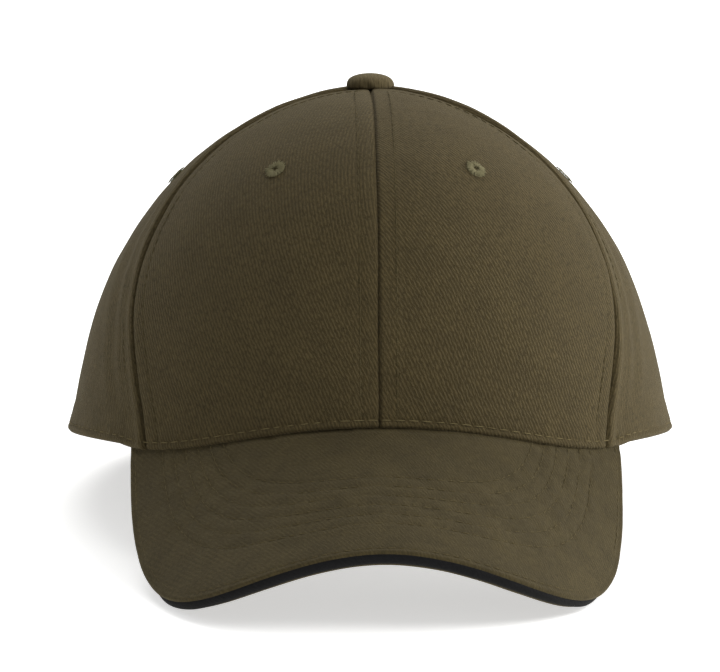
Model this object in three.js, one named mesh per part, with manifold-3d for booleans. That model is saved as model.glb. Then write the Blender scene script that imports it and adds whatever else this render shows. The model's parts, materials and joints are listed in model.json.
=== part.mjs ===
// A structured six-panel baseball cap with a pre-curved sandwich visor, in millimetres, +Z up.
// The front of the cap faces -Y, so +X is the wearer's left. The cap is drawn with the rim's
// own axis upright, then tipped back so that it stands on its visor and its back hem.

import * as THREE from 'three';
import { mergeVertices } from 'three/addons/utils/BufferGeometryUtils.js';
import Module from 'manifold-3d';

const wasm = await Module();
wasm.setup();

// ---- Driving dimensions: millimetres, and azimuths in degrees from the front ----

const crown = {
  halfWidth: 91, // ear to centre, above the hem's flare
  frontReach: 95, // forehead to centre
  backReach: 94, // nape to centre
  height: 107.5, // top of the dome above the rim axis origin
  frontFullness: 2.55, // superellipse exponent of the forehead's profile
  sideFullness: 1.97,
  backFullness: 2.05,
  hemFlare: 3,
  hemFlareShare: 0.045, // share of the climb over which the flare dies away
  backRimHeight: -8,
  cloth: 0.9,
};
const seams = {
  gap: 0.3,
  frontSideAtRim: 47,
  frontSideAtTop: 62,
  frontSideBow: 11, // how far the front side seam leans back halfway up
  sideRearAtRim: 112,
  sideRearAtTop: 120,
};
const visor = {
  rise: 13.9, // height of the sewn edge at the centre front
  droop: 25, // slope forward from the crown
  bend: 0.0072, // sideways curvature, per mm, at the corners
  bendGrowth: 0.00009,
  cheekCurl: 0.29,
  cornerAzimuth: 55,
  halfWidth: 73.6,
  reach: 60, // crown to the front edge
  squareness: 2.75,
  cover: 0.9,
  board: 2.2,
  sewnInset: 5.6, // how far the sewn edge runs in under the hem
};
const trim = { stickOut: 0.6, root: 1.6 };
const lining = { buckram: 0.6, tape: 0.5, tapeWidth: 14, padding: 1.0, cloth: 0.8 };
const sweatband = { height: 32, lift: 1.2, behindStrap: 0.8, endSetback: 3.5 };
const eyelet = { outer: 3.4, bore: 1.2, proud: 0.5, climb: 0.54, azimuths: [27.3, 87, 150] };
const button = { radius: 7.3, height: 4.7, skin: 0.7, post: 1.6, washer: 6, washerThickness: 0.8 };
const opening = { halfWidth: 38, spring: 6, binding: 3, bindingProud: 0.4 };
const strap = { width: 18, thickness: 1.2, aboveRim: 14, tail: 32, root: 25, travel: 8 };
const tab = { thickness: 0.8, tucked: 12, looseness: 0.15 };
const buckle = {
  fromOpening: 2.7, // from the buckle's end to the opening's edge
  length: 20,
  plate: 1.2,
  ear: 1.2,
  earLength: 9,
  pin: 0.7,
  knuckle: 1.4,
  lever: 1,
  slot: 2,
  bar: 1.6,
  barDrop: 1.4, // the bar sits lower, so that the tab's fold clears the strap
};
const label = { width: 22, height: 12, thickness: 0.4, azimuth: -128 };
const clearance = 0.3;
const plyGap = 0.45; // between the layers of the crown, whose curves are faceted differently

// ---- Colours and finishes ----

const twill = { color: 0x574c36, roughness: 0.95, metalness: 0 };
const blackCloth = { color: 0x17171a, roughness: 0.95, metalness: 0 };
const palerThread = { color: 0x6b634c, roughness: 0.8, metalness: 0 };
const stiffener = { color: 0xd8d4c8, roughness: 0.9, metalness: 0 };
const foam = { color: 0xc9c5b8, roughness: 0.95, metalness: 0 };
const plasticBoard = { color: 0xe6e6e2, roughness: 0.6, metalness: 0 };
const zincPlate = { color: 0xb9b6ad, roughness: 0.35, metalness: 1 };
const labelCloth = { color: 0xe9e6dd, roughness: 0.8, metalness: 0 };

// ---- Small helpers ----

const radians = THREE.MathUtils.degToRad;
const mix = THREE.MathUtils.lerp;
const clamp = THREE.MathUtils.clamp;
const ease = THREE.MathUtils.smoothstep;

const cap = new THREE.Group();

function addPart(name, geometry, finish) {
  geometry.computeVertexNormals();
  const mesh = new THREE.Mesh(geometry, new THREE.MeshStandardMaterial(finish));
  mesh.name = name;
  cap.add(mesh);
  return mesh;
}

function welded(geometry) {
  const bare = geometry.clone();
  bare.deleteAttribute('normal');
  bare.deleteAttribute('uv');
  return mergeVertices(bare, 1e-4);
}

// A closed slab whose corners (u, v, w), each from 0 to 1, are placed in space by a function.
function slab(columns, rows, place) {
  const geometry = new THREE.BoxGeometry(1, 1, 1, columns, rows, 1);
  const position = geometry.attributes.position;
  for (let i = 0; i < position.count; i++) {
    const point = place(position.getX(i) + 0.5, position.getY(i) + 0.5, position.getZ(i) + 0.5);
    position.setXYZ(i, point.x, point.y, point.z);
  }
  return welded(geometry);
}

function solidOf(geometry) {
  const closed = welded(geometry);
  return new wasm.Manifold(new wasm.Mesh({
    numProp: 3,
    vertProperties: new Float32Array(closed.attributes.position.array),
    triVerts: new Uint32Array(closed.index.array),
  }));
}

function geometryOf(solid) {
  const mesh = solid.getMesh();
  const geometry = new THREE.BufferGeometry();
  geometry.setAttribute('position', new THREE.BufferAttribute(new Float32Array(mesh.vertProperties), 3));
  geometry.setIndex(new THREE.BufferAttribute(new Uint32Array(mesh.triVerts), 1));
  return geometry;
}

const cut = (geometry, tool) => geometryOf(solidOf(geometry).subtract(solidOf(tool)));
const join = (geometry, other) => geometryOf(solidOf(geometry).add(solidOf(other)));
const overlapOf = (geometry, other) => geometryOf(solidOf(geometry).intersect(solidOf(other)));

// ---- The crown's outer surface ----

// Height of the visor's upper surface. The crown's front hem is sewn down onto it.
function visorHeight(x, y) {
  const forward = -crown.frontReach - y;
  const cornerSetback = crown.frontReach * (1 - Math.cos(radians(visor.cornerAzimuth)));
  const bend = visor.bend + visor.bendGrowth * (forward + cornerSetback);
  const curl = 1 + visor.cheekCurl * (x / visor.halfWidth) ** 2;
  return visor.rise - Math.tan(radians(visor.droop)) * forward - 0.5 * bend * x * x * curl;
}

// Height of the rim at an azimuth, for a layer that lies this deep inside the outer surface.
function rimHeight(azimuth, depth) {
  const held = clamp(azimuth, -visor.cornerAzimuth, visor.cornerAzimuth);
  const x = (crown.halfWidth + crown.hemFlare - depth) * Math.sin(radians(held));
  const y = -(crown.frontReach + crown.hemFlare / 2 - depth) * Math.cos(radians(held));
  const behind = ease(Math.abs(azimuth), visor.cornerAzimuth, 180);
  return mix(visorHeight(x, y), crown.backRimHeight, behind) + plyGap;
}

// A point of the outer surface. The climb runs from 0 at the rim to 1 at the button.
function outerPoint(azimuth, climb) {
  const theta = radians(azimuth);
  const front = Math.cos(theta) > 0;
  const endFullness = front ? crown.frontFullness : crown.backFullness;
  const fullness = mix(crown.sideFullness, endFullness, Math.cos(theta) ** 2);
  const flare = crown.hemFlare * Math.exp(-climb / crown.hemFlareShare);
  const reach = (front ? crown.frontReach : crown.backReach) + flare / 2;
  const inward = Math.cos(climb * Math.PI / 2) ** (2 / fullness);
  const upward = Math.sin(climb * Math.PI / 2) ** (2 / fullness);
  return new THREE.Vector3(
    (crown.halfWidth + flare) * Math.sin(theta) * inward,
    -reach * Math.cos(theta) * inward,
    mix(rimHeight(azimuth, 0), crown.height, upward),
  );
}

function outwardNormal(azimuth, climb) {
  const step = 1e-3;
  const low = Math.max(climb - step, 0);
  const high = Math.min(climb + step, 1 - step);
  const around = outerPoint(azimuth + step, climb).sub(outerPoint(azimuth - step, climb));
  const upwards = outerPoint(azimuth, high).sub(outerPoint(azimuth, low));
  return around.cross(upwards).normalize();
}

// A point this deep under the outer surface, measured square to it.
function crownPoint(azimuth, climb, depth) {
  return outerPoint(azimuth, climb).addScaledVector(outwardNormal(azimuth, climb), -depth);
}

// The value between low and high at which a rising function reaches its target.
function solve(rising, target, low, high) {
  for (let i = 0; i < 40; i++) {
    const middle = (low + high) / 2;
    if (rising(middle) < target) low = middle;
    else high = middle;
  }
  return (low + high) / 2;
}

// The climb at which a layer starts, so that its edge stands this far above the rim.
function startClimb(azimuth, depth, lift) {
  const target = rimHeight(azimuth, depth) + lift;
  return solve((climb) => crownPoint(azimuth, climb, depth).z, target, 0, 0.8);
}

// The climb at which the dome has closed in to this radius around the button.
function topClimb(azimuth, radius) {
  const closedIn = (climb) => -Math.hypot(outerPoint(azimuth, climb).x, outerPoint(azimuth, climb).y);
  return solve(closedIn, -radius, 0.3, 1);
}

const frontSideSeam = (climb) => mix(seams.frontSideAtRim, seams.frontSideAtTop, climb)
  + seams.frontSideBow * Math.sin(climb * Math.PI);
const sideRearSeam = (climb) => mix(seams.sideRearAtRim, seams.sideRearAtTop, climb);

// Half of a width in mm, as an angle at this height on the dome.
function halfWidthAngle(azimuth, climb, width) {
  const point = outerPoint(azimuth, climb);
  return THREE.MathUtils.radToDeg(Math.asin(Math.min(1, width / 2 / Math.hypot(point.x, point.y))));
}

// Every layer shares its rows up to this climb, so that the facets of neighbours lie parallel.
const sharedClimb = 0.9;
const sharedRows = 14;
const nearButton = 0.985;

// A layer of the crown between two seam lines. It starts at the rim and either ends with the
// shared rows or, given a top radius, goes on to a hole around the button.
function crownLayer({ from, to, outer, thickness, lift, columns, topRadius }) {
  const rows = topRadius ? sharedRows + 2 : sharedRows;
  return slab(columns, rows, (u, v, w) => {
    const depth = outer + thickness * (1 - w);
    const row = v * rows;
    const start = startClimb(mix(from(0), to(0), u), depth, lift);
    let climb = mix(start, sharedClimb, Math.min(row / sharedRows, 1) ** 1.15);
    if (row > sharedRows + 0.5) {
      const end = topClimb(mix(from(nearButton), to(nearButton), u), topRadius);
      climb = mix(sharedClimb, end, (row - sharedRows) / 2);
    }
    return crownPoint(mix(from(climb), to(climb), u), climb, depth);
  });
}

// ---- Crown panels: heavy twill, two for each of front, side and rear ----

const panelDepthEnd = crown.cloth;
const buckramDepth = panelDepthEnd + plyGap;
const frontTapeDepth = buckramDepth + lining.buckram + plyGap;
const rearTapeDepth = panelDepthEnd + plyGap;
const postHole = button.post + clearance;
const hemTurnUp = 1.4; // how far the inner layers stop above the rim

// Seam lines from the centre front round to the centre back, with half a seam gap on each side.
const seamLines = [() => 0, frontSideSeam, sideRearSeam, () => 180];
const besideSeam = (line, side) => (climb) => {
  const azimuth = line(climb);
  return azimuth + side * halfWidthAngle(azimuth, climb, seams.gap);
};

// A plan-view cylinder square to the crown, through every layer, centred on an eyelet.
function eyeletTool(azimuth, radius) {
  const tool = new THREE.CylinderGeometry(radius, radius, 12, 20);
  tool.rotateX(Math.PI / 2);
  return placedOnCrown(tool, azimuth, eyelet.climb, 0);
}

// Stands a shape, drawn with its axis on Z, square to the crown with its origin at this depth.
function placedOnCrown(geometry, azimuth, climb, depth) {
  const normal = outwardNormal(azimuth, climb);
  const point = crownPoint(azimuth, climb, depth);
  geometry.applyQuaternion(new THREE.Quaternion().setFromUnitVectors(new THREE.Vector3(0, 0, 1), normal));
  geometry.translate(point.x, point.y, point.z);
  return geometry;
}

// The rear opening's outline, grown by a margin, as a block through the back of the crown.
function archTool(margin) {
  const half = opening.halfWidth + margin;
  const outline = new THREE.Shape();
  outline.moveTo(-half, crown.backRimHeight - 30);
  outline.lineTo(half, crown.backRimHeight - 30);
  outline.lineTo(half, opening.spring);
  outline.absarc(0, opening.spring, half, 0, Math.PI, false);
  const block = new THREE.ExtrudeGeometry(outline, { depth: crown.backReach, bevelEnabled: false, curveSegments: 20 });
  block.rotateX(Math.PI / 2);
  block.translate(0, crown.backReach * 1.5, 0);
  return block;
}

const sides = [{ name: 'left', sign: 1 }, { name: 'right', sign: -1 }];
const panelKinds = ['front', 'side', 'rear'];

for (const { name, sign } of sides) {
  panelKinds.forEach((kind, index) => {
    const near = besideSeam(seamLines[index], 1);
    const far = besideSeam(seamLines[index + 1], -1);
    const mirrored = (line) => (climb) => sign * line(climb);
    let panel = crownLayer({
      from: mirrored(sign > 0 ? near : far),
      to: mirrored(sign > 0 ? far : near),
      outer: 0,
      thickness: crown.cloth,
      lift: 0,
      columns: 8,
      topRadius: postHole,
    });
    panel = cut(panel, eyeletTool(sign * eyelet.azimuths[index], eyelet.outer + clearance));
    if (kind === 'rear') panel = cut(panel, archTool(opening.binding));
    addPart(`${kind}_panel_${name}`, panel, twill);
  });
}

// ---- Buckram behind the two front panels ----

for (const { name, sign } of sides) {
  const near = besideSeam(seamLines[0], 1);
  const far = besideSeam(frontSideSeam, -1);
  const mirrored = (line) => (climb) => sign * line(climb);
  const stiffening = crownLayer({
    from: mirrored(sign > 0 ? near : far),
    to: mirrored(sign > 0 ? far : near),
    outer: buckramDepth,
    thickness: lining.buckram,
    lift: hemTurnUp,
    columns: 8,
  });
  const holed = cut(stiffening, eyeletTool(sign * eyelet.azimuths[0], eyelet.outer + clearance));
  addPart(`buckram_${name}`, holed, stiffener);
}

// ---- Seam tapes over the inside of the six seams ----

const archTop = opening.spring + opening.halfWidth + opening.binding;
const climbAtHeight = (azimuth, depth, height) => (
  solve((climb) => crownPoint(azimuth, climb, depth).z, height, 0, 0.9)
);
const tapes = [
  { name: 'seam_tape_front_centre', line: () => 0, outer: frontTapeDepth },
  { name: 'seam_tape_front_left', line: frontSideSeam, outer: frontTapeDepth },
  { name: 'seam_tape_front_right', line: (climb) => -frontSideSeam(climb), outer: frontTapeDepth },
  { name: 'seam_tape_rear_left', line: sideRearSeam, outer: rearTapeDepth },
  { name: 'seam_tape_rear_right', line: (climb) => -sideRearSeam(climb), outer: rearTapeDepth },
  { name: 'seam_tape_rear_centre', line: () => 180, outer: rearTapeDepth, bottom: archTop + clearance },
];
for (const { name, line, outer, bottom } of tapes) {
  const geometry = slab(2, sharedRows, (u, v, w) => {
    const depth = outer + lining.tape * (1 - w);
    const low = bottom === undefined
      ? startClimb(line(0), depth, hemTurnUp)
      : climbAtHeight(line(0), depth, bottom);
    const climb = mix(low, sharedClimb, v ** 1.15);
    const middle = line(climb);
    const spread = halfWidthAngle(middle, climb, lining.tapeWidth);
    return crownPoint(middle + mix(-spread, spread, u), climb, depth);
  });
  addPart(name, geometry, twill);
}

// ---- Eyelets: sewn rings, one to a panel ----

const eyeletThrough = frontTapeDepth;
for (const { name, sign } of sides) {
  panelKinds.forEach((kind, index) => {
    const profile = [
      new THREE.Vector2(eyelet.bore, -eyeletThrough),
      new THREE.Vector2(eyelet.outer, -eyeletThrough),
      new THREE.Vector2(eyelet.outer, eyelet.proud * 0.4),
      new THREE.Vector2((eyelet.outer + eyelet.bore) / 2, eyelet.proud),
      new THREE.Vector2(eyelet.bore, eyelet.proud * 0.4),
      new THREE.Vector2(eyelet.bore, -eyeletThrough),
    ];
    const ring = new THREE.LatheGeometry(profile, 18);
    ring.rotateX(Math.PI / 2);
    const placed = placedOnCrown(ring, sign * eyelet.azimuths[index], eyelet.climb, 0);
    addPart(`eyelet_${kind}_${name}`, welded(placed), palerThread);
  });
}

// ---- Top button: a cloth-covered metal dome on a post, clinched over a washer inside ----

const buttonSeat = crown.height + clearance;
const buttonHalf = button.skin + clearance;

function turned(points, sides) {
  const geometry = new THREE.LatheGeometry(points.map(([r, z]) => new THREE.Vector2(r, z)), sides);
  geometry.rotateX(Math.PI / 2);
  return welded(geometry);
}

// Points down a dome from its crown to its widest edge.
function domeCurve(radius, height, base, steps) {
  const points = [];
  for (let i = 0; i <= steps; i++) {
    const angle = (i / steps) * Math.PI / 2;
    points.push([radius * Math.sin(angle), base + height * Math.cos(angle) ** 0.75]);
  }
  return points;
}

const coverHole = button.post + clearance;
const coverOutside = domeCurve(button.radius, button.height - 1, buttonSeat + 1, 7);
const coverInside = domeCurve(button.radius - button.skin, button.height - 1 - button.skin, buttonSeat + 1, 7);
addPart('button_cover', turned([
  ...coverOutside,
  [button.radius - 0.5, buttonSeat],
  [coverHole, buttonSeat],
  [coverHole, buttonSeat + button.skin],
  [button.radius - button.skin - 0.4, buttonSeat + button.skin],
  ...coverInside.reverse(),
].reverse(), 24), twill);

const shellBase = buttonSeat + button.skin + clearance;
const shellRadius = button.radius - buttonHalf - 0.2;
const shellRise = button.height - 1 - buttonHalf - clearance;
const shellOutside = domeCurve(shellRadius, shellRise, buttonSeat + 1, 6);
const postFoot = crown.height - frontTapeDepth - clearance - button.washerThickness - clearance;
addPart('button_shell', turned([
  ...shellOutside,
  [shellRadius - 0.4, shellBase],
  [button.post, shellBase],
  [button.post, postFoot],
  [button.post * 1.7, postFoot],
  [button.post * 1.5, postFoot - 0.9],
  [0, postFoot - 0.9],
].reverse(), 20), zincPlate);

const washerTop = postFoot + clearance + button.washerThickness;
addPart('button_washer', turned([
  [postHole, washerTop],
  [button.washer, washerTop],
  [button.washer, washerTop - button.washerThickness],
  [postHole, washerTop - button.washerThickness],
  [postHole, washerTop],
].reverse(), 20), zincPlate);

// ---- Visor: board between two covers, with a black sandwich trim along its edge ----

const cornerY = -(crown.frontReach + crown.hemFlare / 2) * Math.cos(radians(visor.cornerAzimuth));

// The visor's plan: along the sewn edge under the hem, and along the front edge.
function sewnEdge(across) {
  const theta = radians(across * visor.cornerAzimuth);
  return new THREE.Vector2(
    (crown.halfWidth + crown.hemFlare - visor.sewnInset) * Math.sin(theta),
    -(crown.frontReach + crown.hemFlare / 2 - visor.sewnInset) * Math.cos(theta),
  );
}

function frontEdge(across) {
  const psi = across * Math.PI / 2;
  const power = 2 / visor.squareness;
  const frontY = -crown.frontReach - visor.reach;
  return new THREE.Vector2(
    visor.halfWidth * Math.sign(across) * Math.abs(Math.sin(psi)) ** power,
    mix(cornerY, frontY, Math.abs(Math.cos(psi)) ** power),
  );
}

// The front edge moved out by an offset, square to itself in plan.
function frontEdgeOut(across, offset) {
  const step = 1e-3;
  const held = clamp(across, -1 + step, 1 - step);
  const along = frontEdge(held + step).sub(frontEdge(held - step)).normalize();
  return frontEdge(across).add(new THREE.Vector2(along.y, -along.x).multiplyScalar(offset));
}

// A point under the visor's upper surface, square to it.
function visorPoint(plan, depth) {
  const step = 0.01;
  const slopeX = (visorHeight(plan.x + step, plan.y) - visorHeight(plan.x - step, plan.y)) / (2 * step);
  const slopeY = (visorHeight(plan.x, plan.y + step) - visorHeight(plan.x, plan.y - step)) / (2 * step);
  const normal = new THREE.Vector3(-slopeX, -slopeY, 1).normalize();
  return new THREE.Vector3(plan.x, plan.y, visorHeight(plan.x, plan.y)).addScaledVector(normal, -depth);
}

// Spreads the columns so that they crowd where the front edge turns the corner.
const spread = (u) => Math.sin((u - 0.5) * Math.PI * 0.55) / Math.sin(Math.PI * 0.275);

function visorLayer(outer, thickness, edgeOffset, columns, rows) {
  return slab(columns, rows, (u, v, w) => {
    const across = spread(u);
    const plan = sewnEdge(across).lerp(frontEdgeOut(across, edgeOffset), v);
    return visorPoint(plan, outer + thickness * w);
  });
}

const boardDepth = visor.cover + plyGap;
const underCoverDepth = boardDepth + visor.board + plyGap;
addPart('visor_top_cover', visorLayer(0, visor.cover, 0, 22, 7), twill);
addPart('visor_board', visorLayer(boardDepth, visor.board, -trim.root - clearance, 22, 7), plasticBoard);
addPart('visor_bottom_cover', visorLayer(underCoverDepth, visor.cover, 0, 22, 7), twill);
addPart('visor_sandwich_trim', slab(22, 1, (u, v, w) => {
  const plan = frontEdgeOut(spread(u), mix(-trim.root, trim.stickOut, v));
  return visorPoint(plan, boardDepth + visor.board * w);
}), blackCloth);

// ---- Where the closure lies: on a circle that just clears the inside of the hem ----

const strapHeight = crown.backRimHeight + strap.aboveRim;
const strapTop = strapHeight + strap.width / 2;
const degreesOver = (length, radius) => THREE.MathUtils.radToDeg(Math.asin(length / radius));
const openingHalfAngle = degreesOver(opening.halfWidth, crown.backReach);

// Radius of the hem's inner face at a height, the least over the azimuths that the strap sweeps.
function innerRadius(fromAzimuth, toAzimuth, height) {
  let least = Infinity;
  for (let azimuth = fromAzimuth; azimuth <= toAzimuth; azimuth += 2) {
    const climb = solve((c) => crownPoint(azimuth, c, crown.cloth).z, height, 0, 0.8);
    const point = crownPoint(azimuth, climb, crown.cloth);
    least = Math.min(least, Math.hypot(point.x, point.y));
  }
  return least;
}

// Lengths along the strap are angles from here on, taken at the crown's back.
const alongBack = (length) => THREE.MathUtils.radToDeg(length / crown.backReach);
const openingAtStrapTop = Math.sqrt(opening.halfWidth ** 2 - Math.max(0, strapTop - opening.spring) ** 2);
const buckleAzimuth = 180 - degreesOver(openingAtStrapTop - buckle.fromOpening, crown.backReach)
  + alongBack(buckle.length / 2);
const tailAzimuth = buckleAzimuth - alongBack(strap.tail);
const rootAzimuth = 180 + openingHalfAngle + alongBack(strap.root);
const tabAzimuth = 180 - openingHalfAngle - alongBack(tab.tucked);
const strapRadius = innerRadius(tailAzimuth - strap.travel, rootAzimuth + strap.travel, strapTop) - clearance;

// ---- Sweatband: a cloth band round the inside, with a foam pad across the forehead ----

const paddingDepth = frontTapeDepth + lining.tape + plyGap;
const bandFrontDepth = paddingDepth + lining.padding + plyGap;
const pocketRadius = strapRadius - strap.thickness - sweatband.behindStrap;
const pocketAzimuth = Math.min(tailAzimuth, 360 - rootAzimuth) - strap.travel - 4;

// Close to the crown in front, and behind the strap's circle at the back.
function bandDepth(azimuth) {
  const rim = outerPoint(azimuth, 0);
  const pocketDepth = Math.hypot(rim.x, rim.y) - pocketRadius;
  return mix(bandFrontDepth, pocketDepth, ease(Math.abs(azimuth), 85, pocketAzimuth));
}

const bandEnd = 180 - openingHalfAngle - alongBack(sweatband.endSetback);

function bandLayer(halfSpan, depthAt, thickness, inset, columns) {
  return slab(columns, 3, (u, v, w) => {
    const azimuth = mix(-halfSpan, halfSpan, u);
    const depth = depthAt(azimuth) + thickness * (1 - w);
    const bottom = rimHeight(azimuth, depth) + sweatband.lift + inset;
    const top = bottom + sweatband.height - 2 * inset;
    const climb = solve((c) => crownPoint(azimuth, c, depth).z, mix(bottom, top, v), 0, 0.8);
    return crownPoint(azimuth, climb, depth);
  });
}

addPart('sweatband_padding', bandLayer(80, () => paddingDepth, lining.padding, 3, 22), foam);
addPart('sweatband', bandLayer(bandEnd, bandDepth, lining.cloth, 0, 44), twill);

addPart('care_label', slab(3, 1, (u, v, w) => {
  const azimuth = label.azimuth + (u - 0.5) * THREE.MathUtils.radToDeg(label.width / crown.halfWidth);
  const depth = bandDepth(azimuth) + lining.cloth + clearance + label.thickness * (1 - w);
  const height = rimHeight(azimuth, depth) + sweatband.lift + sweatband.height / 2 + label.height * (v - 0.5);
  return crownPoint(azimuth, solve((c) => crownPoint(azimuth, c, depth).z, height, 0, 0.8), depth);
}), labelCloth);

// ---- Rear opening: a folded binding round the arch ----

const openingSpan = degreesOver(opening.halfWidth + 8, crown.backReach);
const bindingShell = slab(18, 10, (u, v, w) => {
  const azimuth = 180 + mix(-openingSpan, openingSpan, u);
  const depth = mix(crown.cloth + opening.bindingProud, -opening.bindingProud, w);
  const height = mix(rimHeight(azimuth, depth), archTop + 6, v);
  return crownPoint(azimuth, solve((c) => crownPoint(azimuth, c, depth).z, height, 0, 0.9), depth);
});
const bindingSolid = cut(overlapOf(bindingShell, archTool(opening.binding - clearance)), archTool(0));
addPart('rear_opening_binding', bindingSolid, twill);

// ---- Closure: a cloth strap through a flip-lever buckle that a short tab holds ----

// A strip seen from above, as a line of [azimuth, radius] points with a thickness, drawn
// upwards by a width and centred on the strap's height.
function uprightStrip(line, thickness, width) {
  const middle = line.map(([azimuth, radius]) => new THREE.Vector2(
    radius * Math.sin(radians(azimuth)),
    -radius * Math.cos(radians(azimuth)),
  ));
  const edge = (side) => middle.map((point, i) => {
    const along = middle[Math.min(i + 1, middle.length - 1)].clone().sub(middle[Math.max(i - 1, 0)]).normalize();
    return point.clone().add(new THREE.Vector2(-along.y, along.x).multiplyScalar(side * thickness / 2));
  });
  const outline = new THREE.Shape([...edge(1), ...edge(-1).reverse()]);
  const strip = new THREE.ExtrudeGeometry(outline, { depth: width, bevelEnabled: false });
  strip.translate(0, 0, strapHeight - width / 2);
  return welded(strip);
}

function arcLine(from, to, radius, steps) {
  return Array.from({ length: steps + 1 }, (_, i) => [mix(from, to, i / steps), radius]);
}

addPart('strap', uprightStrip(
  arcLine(tailAzimuth, rootAzimuth, strapRadius - strap.thickness / 2, 24),
  strap.thickness,
  strap.width,
), twill);

// The buckle is drawn lying at the origin: X along the strap towards the tab, Y outwards,
// Z up, with Y = 0 at the crown's axis, then turned to its azimuth.
const plateFace = Math.sqrt((strapRadius - strap.thickness) ** 2 - (buckle.length / 2) ** 2) - clearance;
const earInside = strap.width / 2 + clearance * 2;
const earOutside = earInside + buckle.ear;
const pinAway = strapRadius + clearance + buckle.knuckle;
const pinAlong = -buckle.length / 2 + buckle.earLength / 2;
const earTip = pinAway + buckle.knuckle;

function brick(x0, x1, y0, y1, z0, z1) {
  const block = new THREE.BoxGeometry(x1 - x0, y1 - y0, z1 - z0);
  block.translate((x0 + x1) / 2, (y0 + y1) / 2, (z0 + z1) / 2);
  return block;
}

function pinTool(radius, halfLength) {
  const rod = new THREE.CylinderGeometry(radius, radius, halfLength * 2, 16);
  rod.rotateX(Math.PI / 2);
  rod.translate(pinAlong, pinAway, 0);
  return rod;
}

// Turns a buckle piece from its drawing position to its place at the back of the cap.
function atBuckle(geometry) {
  geometry.rotateZ(radians(buckleAzimuth - 180));
  geometry.translate(0, 0, strapHeight);
  return welded(geometry);
}

const halfBuckle = buckle.length / 2;
const barStart = halfBuckle - buckle.bar;
const slotStart = barStart - buckle.slot;
const slotHalf = strap.width / 2 + clearance;
const barFace = plateFace - buckle.barDrop;
let frame = brick(-halfBuckle, slotStart, plateFace - buckle.plate, plateFace, -earOutside, earOutside);
frame = join(frame, brick(barStart, halfBuckle, barFace - buckle.plate, barFace, -earOutside, earOutside));
for (const side of [-1, 1]) {
  const earLow = Math.min(side * earInside, side * earOutside);
  const earEnd = -halfBuckle + buckle.earLength;
  frame = join(frame, brick(-halfBuckle, earEnd, plateFace - buckle.plate / 2, earTip, earLow, earLow + buckle.ear));
  const railLow = Math.min(side * slotHalf, side * earOutside);
  const railHigh = Math.max(side * slotHalf, side * earOutside);
  frame = join(frame, brick(slotStart - 1, halfBuckle - 0.01, barFace - buckle.plate, plateFace, railLow, railHigh));
}
frame = cut(frame, pinTool(buckle.pin + clearance, earOutside + 2));
addPart('buckle_frame', atBuckle(frame), zincPlate);
addPart('buckle_pin', atBuckle(pinTool(buckle.pin, earOutside + 0.4)), zincPlate);

const leverHalf = strap.width / 2;
const leverFace = pinAway + buckle.knuckle;
const leverPlate = brick(pinAlong, halfBuckle - 1, leverFace - buckle.lever, leverFace, -leverHalf, leverHalf);
let lever = join(pinTool(buckle.knuckle, leverHalf), leverPlate);
lever = cut(lever, pinTool(buckle.pin + clearance, leverHalf + 1));
addPart('buckle_lever', atBuckle(lever), zincPlate);

// The tab runs out of the hem, round the buckle's bar and back on itself.
const barMiddle = barFace - buckle.plate / 2;
const foldHalf = buckle.plate / 2 + clearance + tab.looseness + tab.thickness / 2;
const foldCentre = halfBuckle - buckle.bar / 2;
const foldLead = buckle.bar / 2 + clearance + tab.thickness / 2;
const polarAtBuckle = (x, y) => [buckleAzimuth - THREE.MathUtils.radToDeg(Math.atan2(x, y)), Math.hypot(x, y)];
const fold = [];
for (let i = 0; i <= 6; i++) {
  const angle = (i / 6) * Math.PI;
  fold.push(polarAtBuckle(foldCentre - foldLead * Math.sin(angle), barMiddle + foldHalf * Math.cos(angle)));
}
const tabLeaves = polarAtBuckle(foldCentre + buckle.bar, barMiddle + foldHalf);
const tabReturns = polarAtBuckle(foldCentre + buckle.bar * 2, barMiddle - foldHalf);
addPart('buckle_tab', uprightStrip(
  [...arcLine(tabAzimuth, tabLeaves[0], tabLeaves[1], 3), ...fold, tabReturns],
  tab.thickness,
  strap.width - 2 * clearance,
), twill);

// ---- Stand the cap on its visor and its back hem, over the origin ----

const lowestAt = (names, pitch) => {
  const turn = new THREE.Matrix4().makeRotationX(-pitch);
  const point = new THREE.Vector3();
  let lowest = Infinity;
  for (const mesh of cap.children) {
    if (!names.includes(mesh.name)) continue;
    const position = mesh.geometry.attributes.position;
    for (let i = 0; i < position.count; i++) {
      lowest = Math.min(lowest, point.fromBufferAttribute(position, i).applyMatrix4(turn).z);
    }
  }
  return lowest;
};
const visorNames = ['visor_sandwich_trim', 'visor_bottom_cover'];
const backNames = ['rear_panel_left', 'rear_panel_right', 'rear_opening_binding'];
const pitch = solve((angle) => lowestAt(visorNames, angle) - lowestAt(backNames, angle), 0, 0, radians(30));
cap.rotation.x = -pitch;
cap.updateMatrixWorld(true);
const box = new THREE.Box3().setFromObject(cap, true);
cap.position.set(0, -(box.min.y + box.max.y) / 2, -box.min.z);

const standing = new THREE.Group();
standing.add(cap);
standing.updateMatrixWorld(true);

export default standing;
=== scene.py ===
"""A six-panel baseball cap in brushed olive twill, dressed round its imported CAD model."""

import json
import math

import bmesh
import bpy
import numpy as np
from mathutils import Matrix, Vector


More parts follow.
